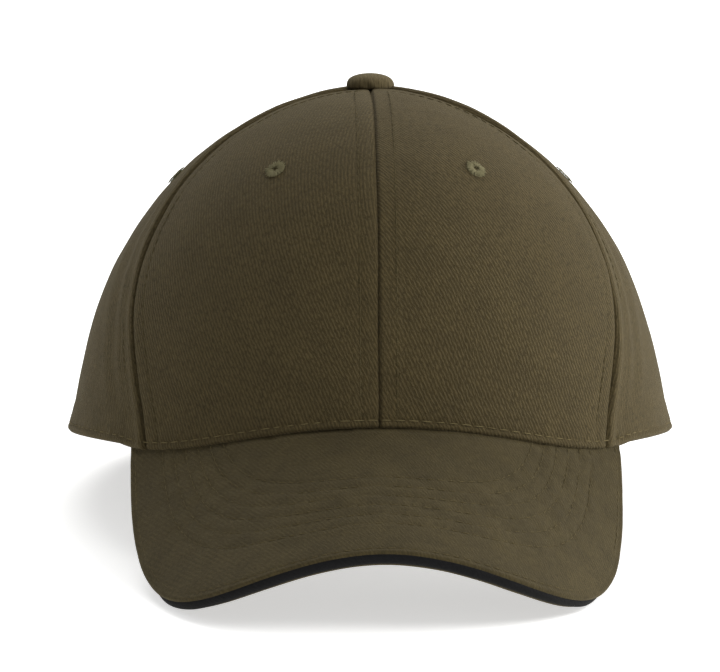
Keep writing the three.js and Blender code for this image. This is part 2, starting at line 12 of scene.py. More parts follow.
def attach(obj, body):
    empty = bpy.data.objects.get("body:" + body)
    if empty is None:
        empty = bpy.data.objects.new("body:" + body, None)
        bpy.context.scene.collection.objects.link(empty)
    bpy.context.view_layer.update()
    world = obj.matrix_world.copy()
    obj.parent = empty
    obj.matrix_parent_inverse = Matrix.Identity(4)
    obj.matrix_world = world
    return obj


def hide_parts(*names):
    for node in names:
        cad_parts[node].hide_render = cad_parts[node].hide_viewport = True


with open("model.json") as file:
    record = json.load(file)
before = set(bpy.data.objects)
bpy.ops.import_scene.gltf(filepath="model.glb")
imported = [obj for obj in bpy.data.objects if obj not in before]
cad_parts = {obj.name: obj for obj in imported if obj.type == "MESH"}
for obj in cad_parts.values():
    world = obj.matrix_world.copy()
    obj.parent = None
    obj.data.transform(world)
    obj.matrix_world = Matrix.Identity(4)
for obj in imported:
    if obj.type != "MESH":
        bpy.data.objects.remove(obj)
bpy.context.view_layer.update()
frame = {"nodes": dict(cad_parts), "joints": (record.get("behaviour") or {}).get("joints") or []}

scene = bpy.context.scene

# ---- How the cap stands ----
# The cap rests on its visor's cheeks and its back hem, so the crown leans back. Every size below
# is in millimetres in the crown's own frame: X to the wearer's left, Y back, Z up its axis.

strap_joint = next(joint for joint in frame["joints"] if joint["name"] == "strap_adjust")
crown_up = np.array(strap_joint["axis"])
crown_axes = np.array([(1, 0, 0), np.cross(crown_up, (1, 0, 0)), crown_up])
crown_foot = np.array(strap_joint["pos_m"])


def standing(points):
    """Points of the crown's frame, in millimetres, as the cap stands, in metres."""
    return crown_foot + np.asarray(points, float) / 1000 @ crown_axes


# ---- Studio ----
# A long lens a step back from the cap and a little above its rim, on a pale floor. A pale room
# lights it from all round, a large soft key stands to the upper right and a weaker one behind.

eye = Vector(standing((-41.75, -1488.2, 182.8)))
target = Vector(standing((-3.0, 3.8, 30.4)))
camera = bpy.data.objects.new("camera", bpy.data.cameras.new("camera"))
camera.data.lens = 240.75
camera.data.sensor_width = 36
looking = (target - eye).normalized()
rightward = looking.cross(Vector(crown_up)).normalized()
camera.matrix_world = Matrix.Translation(eye) @ Matrix(
    (rightward, rightward.cross(looking), -looking)
).transposed().to_4x4()
scene.collection.objects.link(camera)
scene.camera = camera
scene.view_settings.view_transform = "Standard"


def linear(hex_colour):
    """An sRGB hex colour as linear RGBA."""
    channels = [int(hex_colour[i:i + 2], 16) / 255 for i in (1, 3, 5)]
    return [c / 12.92 if c <= 0.04045 else ((c + 0.055) / 1.055) ** 2.4 for c in channels] + [1]


def feed(tree, made, inputs):
    """Gives a node its inputs, as values or as sockets to link."""
    for key, value in inputs.items():
        if isinstance(value, bpy.types.NodeSocket):
            tree.links.new(value, made.inputs[key])
        else:
            made.inputs[key].default_value = value


def node(tree, kind, inputs=None, **settings):
    """Adds a node with its settings and its inputs."""
    made = tree.nodes.new(kind)
    for name, value in settings.items():
        setattr(made, name, value)
    feed(tree, made, inputs or {})
    return made


def new_material(name):
    """A new material, its node tree and its shader."""
    material = bpy.data.materials.new(name)
    material.use_nodes = True
    return material, material.node_tree, material.node_tree.nodes["Principled BSDF"]


def noise(tree, vector, scale, detail, roughness=0.5):
    return node(tree, "ShaderNodeTexNoise", {
        "Vector": vector, "Scale": scale, "Detail": detail, "Roughness": roughness,
    }).outputs["Fac"]


def wave(tree, vector, pitch, direction, **inputs):
    """Bands this far apart: a wave texture repeats every 0.314 of its own units."""
    return node(tree, "ShaderNodeTexWave", {
        "Vector": vector, "Scale": 0.31416 / pitch,
        **{key.replace("_", " "): value for key, value in inputs.items()},
    }, bands_direction=direction).outputs["Fac"]


def arithmetic(tree, operation, *values):
    return node(tree, "ShaderNodeMath", dict(enumerate(values)), operation=operation).outputs[0]


def remap(tree, value, low, high, to_low=0, to_high=1):
    return node(tree, "ShaderNodeMapRange", {
        "Value": value, "From Min": low, "From Max": high, "To Min": to_low, "To Max": to_high,
    }).outputs[0]


def blend(tree, factor, one, other, **settings):
    """One colour turned into another as far as the factor says."""
    return node(tree, "ShaderNodeMix", {
        "Factor": factor, 6: one, 7: other,
    }, data_type="RGBA", **settings).outputs[2]


def embossed(tree, height, strength, distance):
    return node(tree, "ShaderNodeBump", {
        "Height": height, "Strength": strength, "Distance": distance,
    }).outputs["Normal"]


def soft_light(name, place, power, size):
    lamp = bpy.data.objects.new(name, bpy.data.lights.new(name, "AREA"))
    lamp.data.energy = power
    lamp.data.shape = "DISK"
    lamp.data.size = size
    lamp.location = place
    lamp.rotation_euler = (Vector((0, 0, 0.06)) - Vector(place)).to_track_quat("-Z", "Y").to_euler()
    scene.collection.objects.link(lamp)


soft_light("key", (1.1, -0.5, 1.15), 18, 0.9)
soft_light("back", (-0.2, 0.9, 1.1), 9, 0.9)
soft_light("right_rim", (1.0, 0.3, 0.35), 6, 0.6)
soft_light("left_rim", (-1.1, 0.6, 0.6), 0.7, 0.6)

room = bpy.data.worlds.new("pale_room")
room.use_nodes = True
feed(room.node_tree, room.node_tree.nodes["Background"], {"Color": (1, 1, 1, 1), "Strength": 0.33})
scene.world = room

# A light table of matt white acrylic under the cap, lit a little from below so that shadows stay
# pale. It lies just under the lowest point of the cap.
floor_half, floor_drop = 6, 0.0003
acrylic, acrylic_tree, white_sheet = new_material("matt white acrylic")
feed(acrylic_tree, white_sheet, {
    "Base Color": linear("#F2F2F0"), "Roughness": 0.9, "Emission Color": (1, 1, 1, 1),
    "Emission Strength": 0.57,
})
floor_mesh = bpy.data.meshes.new("floor")
floor_corners = ((-1, -1), (1, -1), (1, 1), (-1, 1))
floor_mesh.from_pydata(
    [(floor_half * x, floor_half * y, -floor_drop) for x, y in floor_corners], [], [(0, 1, 2, 3)]
)
floor = bpy.data.objects.new("floor", floor_mesh)
floor.data.materials.append(acrylic)
scene.collection.objects.link(floor)

# ---- Crown panels ----
# Six gores of heavy brushed cotton twill, sewn edge to edge with the allowances turned back and
# topstitched on both sides. The two front ones stand on buckram, and the hem is turned up.

half_width, front_reach, back_reach, crown_height = 91, 95, 94, 107.5
hem_flare, flare_share = 3, 0.045
back_rim = -8
visor_rise, visor_droop, visor_bend, bend_growth, cheek_curl = 13.9, 25, 0.0072, 0.00009, 0.29
visor_half_width, visor_reach, corner_azimuth = 73.6, 60, 55
ply_gap = 0.45
panel_cloth = 0.9
seam_gap = 0.04
topstitch_off_seam = 5.4
hem_stitch_up = 2.3
stitch_pitch = 3.0
button_post = 1.9
arch_half_width, arch_spring, binding_width = 38, 6, 3


def smooth(value, low, high):
    share = np.clip((np.asarray(value, float) - low) / (high - low), 0, 1)
    return share * share * (3 - 2 * share)


def bump(value, middle, width):
    return np.exp(-(((value - middle) / width) ** 2))


def visor_height(x, y):
    """Height of the visor's upper face, on which the front hem stands."""
    forward = -front_reach - y
    setback = front_reach * (1 - math.cos(math.radians(corner_azimuth)))
    bend = visor_bend + bend_growth * (forward + setback)
    curl = 1 + cheek_curl * (x / visor_half_width) ** 2
    return visor_rise - math.tan(math.radians(visor_droop)) * forward - 0.5 * bend * x ** 2 * curl


def rim_height(azimuth, depth=0):
    azimuth = np.asarray(azimuth, float)
    azimuth = (azimuth + 180) % 360 - 180
    held = np.radians(np.clip(azimuth, -corner_azimuth, corner_azimuth))
    on_visor = visor_height(
        (half_width + hem_flare - depth) * np.sin(held),
        -(front_reach + hem_flare / 2 - depth) * np.cos(held),
    )
    behind = smooth(np.abs(azimuth), corner_azimuth, 180)
    return on_visor * (1 - behind) + back_rim * behind + ply_gap


def crown_surface(azimuth, climb, depth=0):
    """The crown's outer face, or a layer that deep in it, at degrees round from the front and a
    climb from 0 at the rim to 1 under the button."""
    azimuth, climb = np.broadcast_arrays(np.asarray(azimuth, float), np.asarray(climb, float))
    theta = np.radians(azimuth)
    ahead = np.cos(theta)
    fullness = 1.97 + (np.where(ahead > 0, 2.55, 2.05) - 1.97) * ahead ** 2
    flare = hem_flare * np.exp(-climb / flare_share)
    inward = np.clip(np.cos(climb * np.pi / 2), 0, 1) ** (2 / fullness)
    upward = np.clip(np.sin(climb * np.pi / 2), 0, 1) ** (2 / fullness)
    rim = rim_height(azimuth)
    place = np.stack([
        (half_width + flare) * np.sin(theta) * inward,
        -(np.where(ahead > 0, front_reach, back_reach) + flare / 2) * ahead * inward,
        rim + (crown_height - rim) * upward,
    ], -1)
    if np.ndim(depth) or depth:
        place = place - crown_normal(azimuth, climb) * np.asarray(depth, float)[..., None]
    return place


def crown_normal(azimuth, climb):
    low, high = np.maximum(climb - 1e-3, 0), np.minimum(climb + 1e-3, 0.9985)
    around = crown_surface(azimuth + 0.01, climb) - crown_surface(azimuth - 0.01, climb)
    square = np.cross(around, crown_surface(azimuth, high) - crown_surface(azimuth, low))
    return unit(square)


def front_centre_seam(climb):
    return 0 * climb


def rear_centre_seam(climb):
    return 180 + 0 * climb


def front_side_seam(climb):
    return 47 + 15 * climb + 11 * np.sin(np.pi * climb)


def side_rear_seam(climb):
    return 112 + 8 * climb


def seam_scale(seam, climb):
    """Millimetres square to a seam for each degree round the crown."""
    line = seam(climb)
    around = (crown_surface(line + 0.05, climb) - crown_surface(line - 0.05, climb)) / 0.1
    low, high = np.maximum(climb - 1e-3, 0), np.minimum(climb + 1e-3, 1)
    along = crown_surface(seam(high), high) - crown_surface(seam(low), low)
    return np.linalg.norm(np.cross(around, unit(along)), axis=-1)


def unit(vectors):
    return vectors / np.linalg.norm(vectors, axis=-1, keepdims=True)


def ripple(places, wavelength, seed):
    """Slow swells of about this wavelength, from -1 to 1."""
    rng = np.random.default_rng(seed)
    total = 0
    for _ in range(7):
        way = rng.normal(size=3)
        way /= np.linalg.norm(way) * wavelength * rng.uniform(0.7, 1.5)
        total = total + np.sin(2 * np.pi * (places @ way) + rng.uniform(0, 2 * np.pi))
    return total / 3.5


def add_piece(name, mesh, material):
    piece = bpy.data.objects.new(name, mesh)
    piece.data.materials.clear()
    piece.data.materials.append(material)
    scene.collection.objects.link(piece)
    return piece


def stand_for(piece, cad_name, body="cap"):
    """Shows a piece in place of a CAD node, on its body."""
    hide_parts(cad_name)
    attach(piece, body)


def smooth_shaded(mesh, sharp_from=60):
    """Shades a mesh smooth, with edges kept sharp from this many degrees."""
    mesh.shade_smooth()
    mesh.set_sharp_from_angle(angle=math.radians(sharp_from))


def closed_into(mesh, build):
    """Turns all the faces of a build outwards and puts it into a mesh."""
    bmesh.ops.recalc_face_normals(build, faces=build.faces)
    build.to_mesh(mesh)
    build.free()


def mirrored(points):
    return points * (-1, 1, 1)


def other_side(*grids):
    """Grids made for the left side, as they lie on the right, with their columns in order."""
    return [mirrored(grid[:, ::-1]) for grid in grids]


def cloth_slab(name, outer, inner, grain, material, wear_and_painted_light=None):
    """A closed ply of cloth from two grids of points in the crown's frame. Rows run up and
    columns to the wearer's left as seen from outside. grain is the weave's own millimetres."""
    rows, columns = outer.shape[:2]
    index = np.arange(rows * columns).reshape(rows, columns)
    outside = np.stack([
        index[:-1, :-1], index[:-1, 1:], index[1:, 1:], index[1:, :-1],
    ], -1).reshape(-1, 4)
    edge = np.concatenate([index[0, :-1], index[:-1, -1], index[-1, :0:-1], index[:0:-1, 0]])
    after = np.roll(edge, -1)
    below = rows * columns
    rim = np.stack([edge, edge + below, after + below, after], -1)
    faces = np.concatenate([outside, outside[:, ::-1] + below, rim])
    points = np.concatenate([outer.reshape(-1, 3), inner.reshape(-1, 3)])
    mesh = bpy.data.meshes.new(name)
    mesh.from_pydata(standing(points).tolist(), [], faces.tolist())
    weave = mesh.uv_layers.new(name="weave")
    both = np.concatenate([grain.reshape(-1, 2), grain.reshape(-1, 2)])
    weave.data.foreach_set("uv", both[faces.ravel()].ravel())
    # The value that pales the twill's colour here: partly wear, partly painted highlight, and lowered
    # for painted shade.
    worn_and_highlit = mesh.attributes.new("wear_and_painted_light", "FLOAT", "POINT")
    wear_and_highlight_values = np.zeros(below) if wear_and_painted_light is None else wear_and_painted_light.ravel()
    worn_and_highlit.data.foreach_set("value", np.concatenate([wear_and_highlight_values, np.zeros(below)]))
    smooth_shaded(mesh)
    return add_piece(name, mesh, material)


def grid_lengths(points):
    """Millimetres across a grid from its middle column, and up its middle column."""
    across = np.linalg.norm(np.diff(points, axis=1), axis=-1)
    across = np.concatenate([np.zeros((points.shape[0], 1)), np.cumsum(across, 1)], 1)
    middle = points.shape[1] // 2
    up = np.linalg.norm(np.diff(points[:, middle], axis=0), axis=-1)
    up = np.concatenate([[0], np.cumsum(up)])[:, None] * np.ones(points.shape[1])
    return np.stack([across - across[:, middle:middle + 1], up], -1)


def turned_weave(lengths, rib_lean):
    """The weave's own coordinates: across the twill's ribs, and along them."""
    lean = math.radians(rib_lean)
    return np.stack([
        lengths[..., 0] * math.sin(lean) - lengths[..., 1] * math.cos(lean),
        lengths[..., 0] * math.cos(lean) + lengths[..., 1] * math.sin(lean),
    ], -1)


rib_pitch = 1.05


def brushed_twill(name, rib_depth, groove, ridge, worn_and_highlit, cloud=0.10, sheen=0.2):
    """Heavy cotton twill, brushed on the face: ragged diagonal ribs under a short nap, which
    catches light at the edges. A paler colour is blended in where the mesh says: partly wear, partly
    painted highlight."""
    material, tree, shader = new_material(name)
    weave = node(tree, "ShaderNodeUVMap", uv_map="weave").outputs["UV"]
    rib = wave(
        tree, weave, rib_pitch, "X",
        Distortion=2.2, Detail=3.0, Detail_Scale=3.0, Detail_Roughness=0.65,
    )
    # Yarn ends broken up by brushing, about 0.5 mm wide and 2 mm long.
    drawn = node(tree, "ShaderNodeMapping", {"Vector": weave, "Scale": (1.9, 0.6, 1)})
    yarns = noise(tree, drawn.outputs["Vector"], 1.0, 3, 0.65)
    ragged = arithmetic(tree, "MULTIPLY", rib, remap(tree, yarns, 0.36, 0.60))
    raised = arithmetic(tree, "MULTIPLY", ragged, rib_depth)
    nap = noise(tree, weave, 3.2, 2, 0.7)
    height = arithmetic(tree, "MULTIPLY_ADD", nap, 0.45, raised)
    height = arithmetic(tree, "MULTIPLY_ADD", yarns, 0.5, height)
    tone = remap(tree, height, 0.28, 0.55 + 0.55 * rib_depth)
    clouded = remap(tree, noise(tree, weave, 0.09, 5, 0.62), 0.3, 0.7, 1 - cloud * 1.2, 1 + cloud)
    dyed = blend(tree, tone, linear(groove), linear(ridge))
    shaded = blend(tree, 1.0, dyed, clouded, blend_type="MULTIPLY")
    # A paler colour is blended in by the mesh's value: partly wear, partly painted highlight.
    wear_and_painted_light = node(tree, "ShaderNodeAttribute", attribute_name="wear_and_painted_light").outputs["Fac"]
    feed(tree, shader, {
        "Base Color": blend(tree, wear_and_painted_light, shaded, linear(worn_and_highlit)),
        "Normal": embossed(tree, height, 1.0, 0.00028), "Roughness": 0.95,
        "Specular IOR Level": 0.25, "Sheen Weight": sheen, "Sheen Roughness": 0.45,
        "Sheen Tint": linear("#B0A27C"),
    })
    return material


# The last colour of each twill is its paler tone, for wear and for painted highlight.
panel_twill = brushed_twill("brushed cotton twill, crown", 0.5, "#2B2410", "#4D4228", "#61563C")
visor_twill = brushed_twill(
    "brushed cotton twill, visor", 0.16, "#2D2613", "#453C24", "#5A5038", 0.16
)

# Where each rear panel's lower edge runs: along the hem, then up round the rear opening.
arch_edge_margin = 1.4


def arch_azimuth(x):
    return 180 - np.degrees(np.arcsin(np.clip(x / back_reach, 0, 1)))


def halved(low, high, steps, falls_short):
    """Closes in on where falls_short stops being true, by halving."""
    for _ in range(steps):
        middle = (low + high) / 2
        short = falls_short(middle)
        low, high = np.where(short, middle, low), np.where(short, high, middle)
    return (low + high) / 2


def climb_to(azimuth, height, depth=0):
    """The climb at which a layer of the crown reaches a height, for each azimuth."""
    azimuth, height, depth = (
        np.asarray(each, float) for each in np.broadcast_arrays(azimuth, height, depth)
    )
    return halved(
        np.zeros(azimuth.shape), np.full(azimuth.shape, 0.9), 26,
        lambda climb: crown_surface(azimuth, climb, depth)[..., 2] < height,
    )


def closing_climb(azimuth, radius):
    """The climb at which the crown closes to this radius round its axis."""
    azimuth = np.asarray(azimuth, float)

    def wide(climb):
        place = crown_surface(azimuth, climb)
        return np.hypot(place[..., 0], place[..., 1]) > radius

    return halved(np.full(azimuth.shape, 0.8), np.ones(azimuth.shape), 30, wide)


def arch_outline(margin, count):
    """Azimuths and climbs up one side of the rear opening, from the hem to its top."""
    half = arch_half_width + margin
    rise = arch_spring - back_rim
    total = rise + half * np.pi / 2
    run = np.linspace(0, total, count)
    turn = np.clip((run - rise) / half, 0, np.pi / 2)
    x = half * np.cos(turn)
    z = np.where(run < rise, arch_spring - rise + run, arch_spring + half * np.sin(turn))
    azimuth = arch_azimuth(x)
    # The opening's outline is flat, and the crown closes in under it as it rises.
    for _ in range(12):
        climb = climb_to(azimuth, z)
        wide = np.abs(crown_surface(azimuth, climb)[..., 0])
        azimuth = 180 - (180 - azimuth) * np.where(wide > 1e-6, x / np.maximum(wide, 1e-6), 1)
    climb = climb_to(azimuth, np.maximum(z, rim_height(azimuth) + 0.01))
    return azimuth, np.where(z <= rim_height(azimuth), 0, climb)


panel_columns, panel_rows = 132, 176


def crowded(share, strength):
    """Shares from 0 to 1, closer together at both ends."""
    return share - strength * np.sin(2 * np.pi * share) / (2 * np.pi)


def panel_lines(kind):
    """Azimuths and climbs of a panel's grid, rows from the hem up."""
    near, far = {
        "front": (front_centre_seam, front_side_seam),
        "side": (front_side_seam, side_rear_seam),
        "rear": (side_rear_seam, rear_centre_seam),
    }[kind]
    across = crowded(np.linspace(0, 1, panel_columns), 0.6)
    if kind == "rear":
        arch_points = 600
        arch_az, arch_climb = arch_outline(arch_edge_margin, arch_points)
        arch_run = np.linspace(0, 1, arch_points)
        hem_count = int(panel_columns * 0.45)
        hem_share = np.linspace(0, 1, hem_count, endpoint=False)
        up_arch = np.linspace(0, 1, panel_columns - hem_count)
        start_az = np.concatenate([
            near(0) + (arch_az[0] - near(0)) * hem_share, np.interp(up_arch, arch_run, arch_az),
        ])
        start_climb = np.concatenate([
            np.zeros(hem_count), np.interp(up_arch, arch_run, arch_climb),
        ])
        across = np.linspace(0, 1, panel_columns) ** 0.9
    else:
        start_az = None
        start_climb = np.zeros(panel_columns)
    top = closing_climb(near(1.0) + (far(1.0) - near(1.0)) * across, button_post)

    def azimuth_at(climb):
        inset = seam_gap / 2
        low = near(climb) + inset / seam_scale(near, climb)
        high = far(climb) - inset / seam_scale(far, climb)
        straight = low + (high - low) * across
        if start_az is None:
            return straight
        risen = (climb - start_climb) / (top - start_climb)
        first, last = near(start_climb), far(start_climb)
        at_start = low + (high - low) * np.clip((start_az - first) / (last - first), 0, 1)
        return at_start + (straight - at_start) * smooth(risen, 0, 0.9) ** 0.7

    fine = start_climb + (top - start_climb) * np.linspace(0, 1, 500)[:, None] ** 1.7
    points = crown_surface(azimuth_at(fine), fine)
    run = np.concatenate([
        np.zeros((1, panel_columns)),
        np.cumsum(np.linalg.norm(np.diff(points, axis=0), axis=-1), 0),
    ])
    share = np.linspace(0, 1, panel_rows)
    share = share * 0.45 + 0.55 * share ** 1.5
    climb = np.stack([
        np.interp(share * column[-1], column, climbs) for column, climbs in zip(run.T, fine.T)
    ], 1)
    return azimuth_at(climb), climb, near, far


def panel_relief(azimuth, climb, near, far, kind, seed):
    """How far the sewn panel stands out from the plain crown, and how far its colour is paled: over
    raised allowances, rolls and the hem's edge, partly wear and partly painted highlight, and lowered
    in the seam grooves as painted shade.
    """
    places = crown_surface(azimuth, climb)
    off_near = (azimuth - near(climb)) * seam_scale(near, climb)
    off_far = (far(climb) - azimuth) * seam_scale(far, climb)
    up_hem = np.linalg.norm(places - crown_surface(azimuth, 0 * climb), axis=-1)
    along = climb * 150 / stitch_pitch * 2 * np.pi
    relief = 0.25 * ripple(places, 46, seed) + 0.08 * ripple(places, 15, seed + 1) + 0.05
    wear_and_painted_light = 0
    for off, band in ((off_near, 0.25 if kind == "side" else 0.06), (off_far, 0.06)):
        relief = relief - 0.8 * bump(off, 0, 0.5)
        relief = relief + band * (1 - smooth(off, 5.0, 7.4))
        relief = relief + 0.10 * bump(off, 2.4, 1.6)
        relief = relief - (0.07 + 0.03 * np.cos(along)) * bump(off, topstitch_off_seam, 0.7)
        # Paler over the raised allowance and beyond the topstitching, partly wear and partly painted
        # highlight; lowered in the seam groove as painted shade.
        wear_and_painted_light = wear_and_painted_light + 0.05 * bump(off, 2.0, 1.2) + 0.08 * bump(off, 6.4, 0.6)
        wear_and_painted_light = wear_and_painted_light - 0.5 * bump(off, 0, 0.7)
    if kind == "side":
        # The cloth bridges from the stiff front panel, in two upright folds.
        body = smooth(climb, 0.02, 0.12) * (1 - smooth(climb, 0.62, 0.86))
        low = body * (1 - smooth(climb, 0.3, 0.55))
        relief = relief + 0.34 * bump(off_near, 8.4, 2.6) * body
        relief = relief - 0.18 * bump(off_near, 12.4, 2.6) * body
        relief = relief + 0.2 * bump(off_near, 16.5 + 10 * climb, 3.0) * low
        # Its seam allowance stands up beside the seam as a soft roll, highest towards the top.
        relief = relief + (0.35 + 0.55 * smooth(climb, 0.3, 0.7)) * bump(off_near, 2.0, 1.5)
        # The roll is painted paler: partly wear, partly painted highlight.
        wear_and_painted_light = wear_and_painted_light + 0.16 * bump(off_near, 1.6, 1.2)
    # The turned-up hem: two plies thick, rolled at its lower edge, drawn in by its stitches.
    relief = relief + 0.22 * (1 - smooth(up_hem, 7.0, 10.0))
    relief = relief - 1.05 * (1 - np.sqrt(1 - np.clip(1 - up_hem / 1.3, 0, 1) ** 2))
    around = azimuth * np.pi / 180 * 93 / stitch_pitch * 2 * np.pi
    relief = relief - (0.26 + 0.08 * np.cos(around)) * bump(up_hem, hem_stitch_up, 0.6)
    puckers = ripple(np.stack([azimuth, 0 * azimuth, 0 * azimuth], -1), 3.4, 77)
    relief = relief + 0.12 * puckers * bump(up_hem, 3.4, 2.2)
    # The hem's rolled edge is painted paler: partly wear, partly painted highlight.
    wear_and_painted_light = wear_and_painted_light + 0.08 * bump(up_hem, 1.2, 0.7)
    return places, relief, np.clip(wear_and_painted_light, -0.4, 0.6), off_near, off_far


rib_leans = {
    ("front", 1): 121, ("front", -1): 107, ("side", 1): 70, ("side", -1): 108,
    ("rear", 1): 100, ("rear", -1): 80,
}
panel_seed = 11
for side_name, sign in (("left", 1), ("right", -1)):
    for kind in ("front", "side", "rear"):
        azimuth, climb, near, far = panel_lines(kind)
        panel_seed += 5
        places, relief, wear_and_painted_light, off_near, off_far = panel_relief(
            azimuth, climb, near, far, kind, panel_seed
        )
        normal = crown_normal(azimuth, climb)
        grooved = 0.45 * bump(off_near, 0, 0.9) + 0.45 * bump(off_far, 0, 0.9)
        outer = places + normal * relief[..., None]
        inner = places + normal * (np.minimum(0.3 * relief, 0) - panel_cloth - grooved)[..., None]
        if sign < 0:
            (outer, inner), wear_and_painted_light = other_side(outer, inner), wear_and_painted_light[:, ::-1]
        lengths = grid_lengths(outer)
        piece = cloth_slab(
            f"{kind}_panel_{side_name}_cloth", outer, inner,
            turned_weave(lengths, rib_leans[kind, sign]), panel_twill, wear_and_painted_light,
        )
        stand_for(piece, f"{kind}_panel_{side_name}")

# ---- Visor ----
# A moulded board between two covers of the same twill, bent down at the cheeks. Six rows of
# stitching run round it through both covers, and one more close to the edge.

visor_squareness, sewn_inset = 2.75, 5.6
cover_cloth, board_thickness = 0.9, 2.2
under_cover_depth = cover_cloth + ply_gap + board_thickness + ply_gap
corner_y = -(front_reach + hem_flare / 2) * math.cos(math.radians(corner_azimuth))
first_row, row_step, row_count = 0.866, 0.0443, 6
edge_stitch_in = 1.9


def front_edge(across, share=1.0):
    """The visor's outline in plan, or a like curve that share of its size."""
    turn = across * np.pi / 2
    x = visor_half_width * np.sign(across) * np.abs(np.sin(turn)) ** (2 / visor_squareness)
    forward = np.clip(np.cos(turn), 0, 1) ** (2 / visor_squareness)
    y = (front_reach + visor_reach + corner_y) * forward
    return np.stack([x * share, corner_y - y * share], -1)


def sewn_edge(across):
    turn = np.radians(across * corner_azimuth)
    return np.stack([
        (half_width + hem_flare - sewn_inset) * np.sin(turn),
        -(front_reach + hem_flare / 2 - sewn_inset) * np.cos(turn),
    ], -1)


def slopes(height, x, y, step=0.05):
    """How fast a height over the plan changes along X and along Y."""
    return np.stack([
        height(x + step, y) - height(x - step, y), height(x, y + step) - height(x, y - step),
    ], -1) / (2 * step)


def outline_share(plan):
    """1 on the visor's outline, less within it, with its slope along the visor's face."""
    power = visor_squareness

    def share(x, y):
        ahead = np.maximum(corner_y - y, 0) / (front_reach + visor_reach + corner_y)
        return (np.abs(x / visor_half_width) ** power + ahead ** power) ** (1 / power)

    x, y = plan[..., 0], plan[..., 1]
    slope, fall = slopes(share, x, y), slopes(visor_height, x, y)
    steep = (slope ** 2).sum(-1) - (slope * fall).sum(-1) ** 2 / (1 + (fall ** 2).sum(-1))
    return share(x, y), np.sqrt(np.maximum(steep, 1e-7))


def visor_place(plan, depth):
    """A point under the visor's upper face, square to it."""
    x, y = plan[..., 0], plan[..., 1]
    fall = slopes(visor_height, x, y)
    normal = unit(np.concatenate([-fall, np.ones_like(fall[..., :1])], -1))
    return np.stack([x, y, visor_height(x, y)], -1) - normal * np.asarray(depth, float)[..., None]


def rim_share(plan):
    """1 on the crown's rim in plan, and more outside it."""
    across = plan[..., 0] / (half_width + hem_flare)
    return np.hypot(across, plan[..., 1] / (front_reach + hem_flare / 2))


def crowd_corners(share):
    """Columns crowd where the front edge turns its corners."""
    return np.sin((share - 0.5) * np.pi * 0.55) / math.sin(np.pi * 0.275)


across, inwards = np.meshgrid(crowd_corners(np.linspace(0, 1, 330)), np.linspace(0, 1, 118) ** 1.15)
plan = front_edge(across) * (1 - inwards)[..., None] + sewn_edge(across) * inwards[..., None]
here, steep = outline_share(plan)
off_edge = (1 - here) / steep
off_crown = (rim_share(plan) - 1) * (front_reach + hem_flare / 2)
face = visor_place(plan, 0)
sewn = 0.12 * ripple(face, 30, 5) + 0.05 * ripple(face, 9, 6)
thread_line = 0
for row in range(row_count):
    off_row = (here - (first_row - row * row_step)) / steep
    sewn = sewn - (0.13 + 0.07 * ripple(face, 5, 40 + row)) * bump(off_row, 0, 0.9)
    thread_line = thread_line + bump(off_row, 0, 0.6)
among_rows = smooth(here, 0.60, 0.66) * (1 - smooth(here, 0.86, 0.92))
sewn = sewn + 0.10 * among_rows * ripple(face, 6, 8)
sewn = sewn - 0.10 * bump(off_edge, edge_stitch_in, 0.6)
ticks = np.maximum(ripple(np.stack([plan[..., 0], 0 * here, 0 * here], -1), 7, 21), 0) ** 2
sewn = sewn - 0.35 * ticks * bump(off_crown, 1.0, 3.4) - 0.25 * bump(off_crown, 0, 1.0)
rolled = cover_cloth * (1 - np.sqrt(1 - np.clip(1 - off_edge / 1.0, 0, 1) ** 2))
lengths = np.stack([
    plan[..., 0] * (1 + (visor_bend * plan[..., 0]) ** 2 / 6),
    -plan[..., 1] / math.cos(math.radians(visor_droop)),
], -1)
top = visor_place(plan, np.minimum(rolled - sewn, cover_cloth * 0.97))
# Along the stitch rows the value that pales the cloth is lowered, as painted shade in the stitch dents.
top_cover = cloth_slab(
    "visor_top_cover_cloth", top, visor_place(plan, cover_cloth),
    turned_weave(lengths, 62), visor_twill, -0.05 * np.clip(thread_line, 0, 1),
)
under = under_cover_depth + cover_cloth
bottom = visor_place(plan, under + sewn * 0.8 - rolled)
bottom_cover = cloth_slab(
    "visor_bottom_cover_cloth", visor_place(plan, under_cover_depth - 0.05), bottom,
    turned_weave(lengths, 118), visor_twill,
)
for cover, cad_name, points in (
    (top_cover, "visor_top_cover", face),
    (bottom_cover, "visor_bottom_cover", visor_place(plan, under)),
):
    stand_for(cover, cad_name)

# ---- Sandwich trim ----
# A bias strip of black twill folded over a filler and caught between the visor's covers, so that
# it fills the edge between them. It stands a little proud in front and sinks in at the sides.


def swept(name, rings, lengths, material):
    """A closed band from rings of points along a path, each ring a closed outline."""
    count, around = rings.shape[:2]
    index = np.arange(count * around).reshape(count, around)
    beside = np.roll(index, -1, 1)
    walls = np.stack([index[:-1], beside[:-1], beside[1:], index[1:]], -1).reshape(-1, 4)
    ends = [index[0, ::-1].tolist(), index[-1].tolist()]
    mesh = bpy.data.meshes.new(name)
    mesh.from_pydata(standing(rings.reshape(-1, 3)).tolist(), [], walls.tolist() + ends)
    weave = mesh.uv_layers.new(name="weave")
    flat = lengths.reshape(-1, 2)
    loops = np.concatenate([walls.ravel(), *ends]).astype(int)
    weave.data.foreach_set("uv", flat[loops].ravel())
    build = bmesh.new()
    build.from_mesh(mesh)
    closed_into(mesh, build)
    smooth_shaded(mesh)
    return add_piece(name, mesh, material)


def outline_lengths(rings):
    """Millimetres round each ring and along the path, for the weave."""
    round_it = np.linalg.norm(np.diff(rings, axis=1), axis=-1)
    round_it = np.concatenate([np.zeros((len(rings), 1)), np.cumsum(round_it, 1)], 1)
    along = np.concatenate([[0], np.cumsum(np.linalg.norm(np.diff(rings[:, 0], axis=0), axis=-1))])
    return np.stack([along[:, None] + 0 * round_it, round_it], -1)


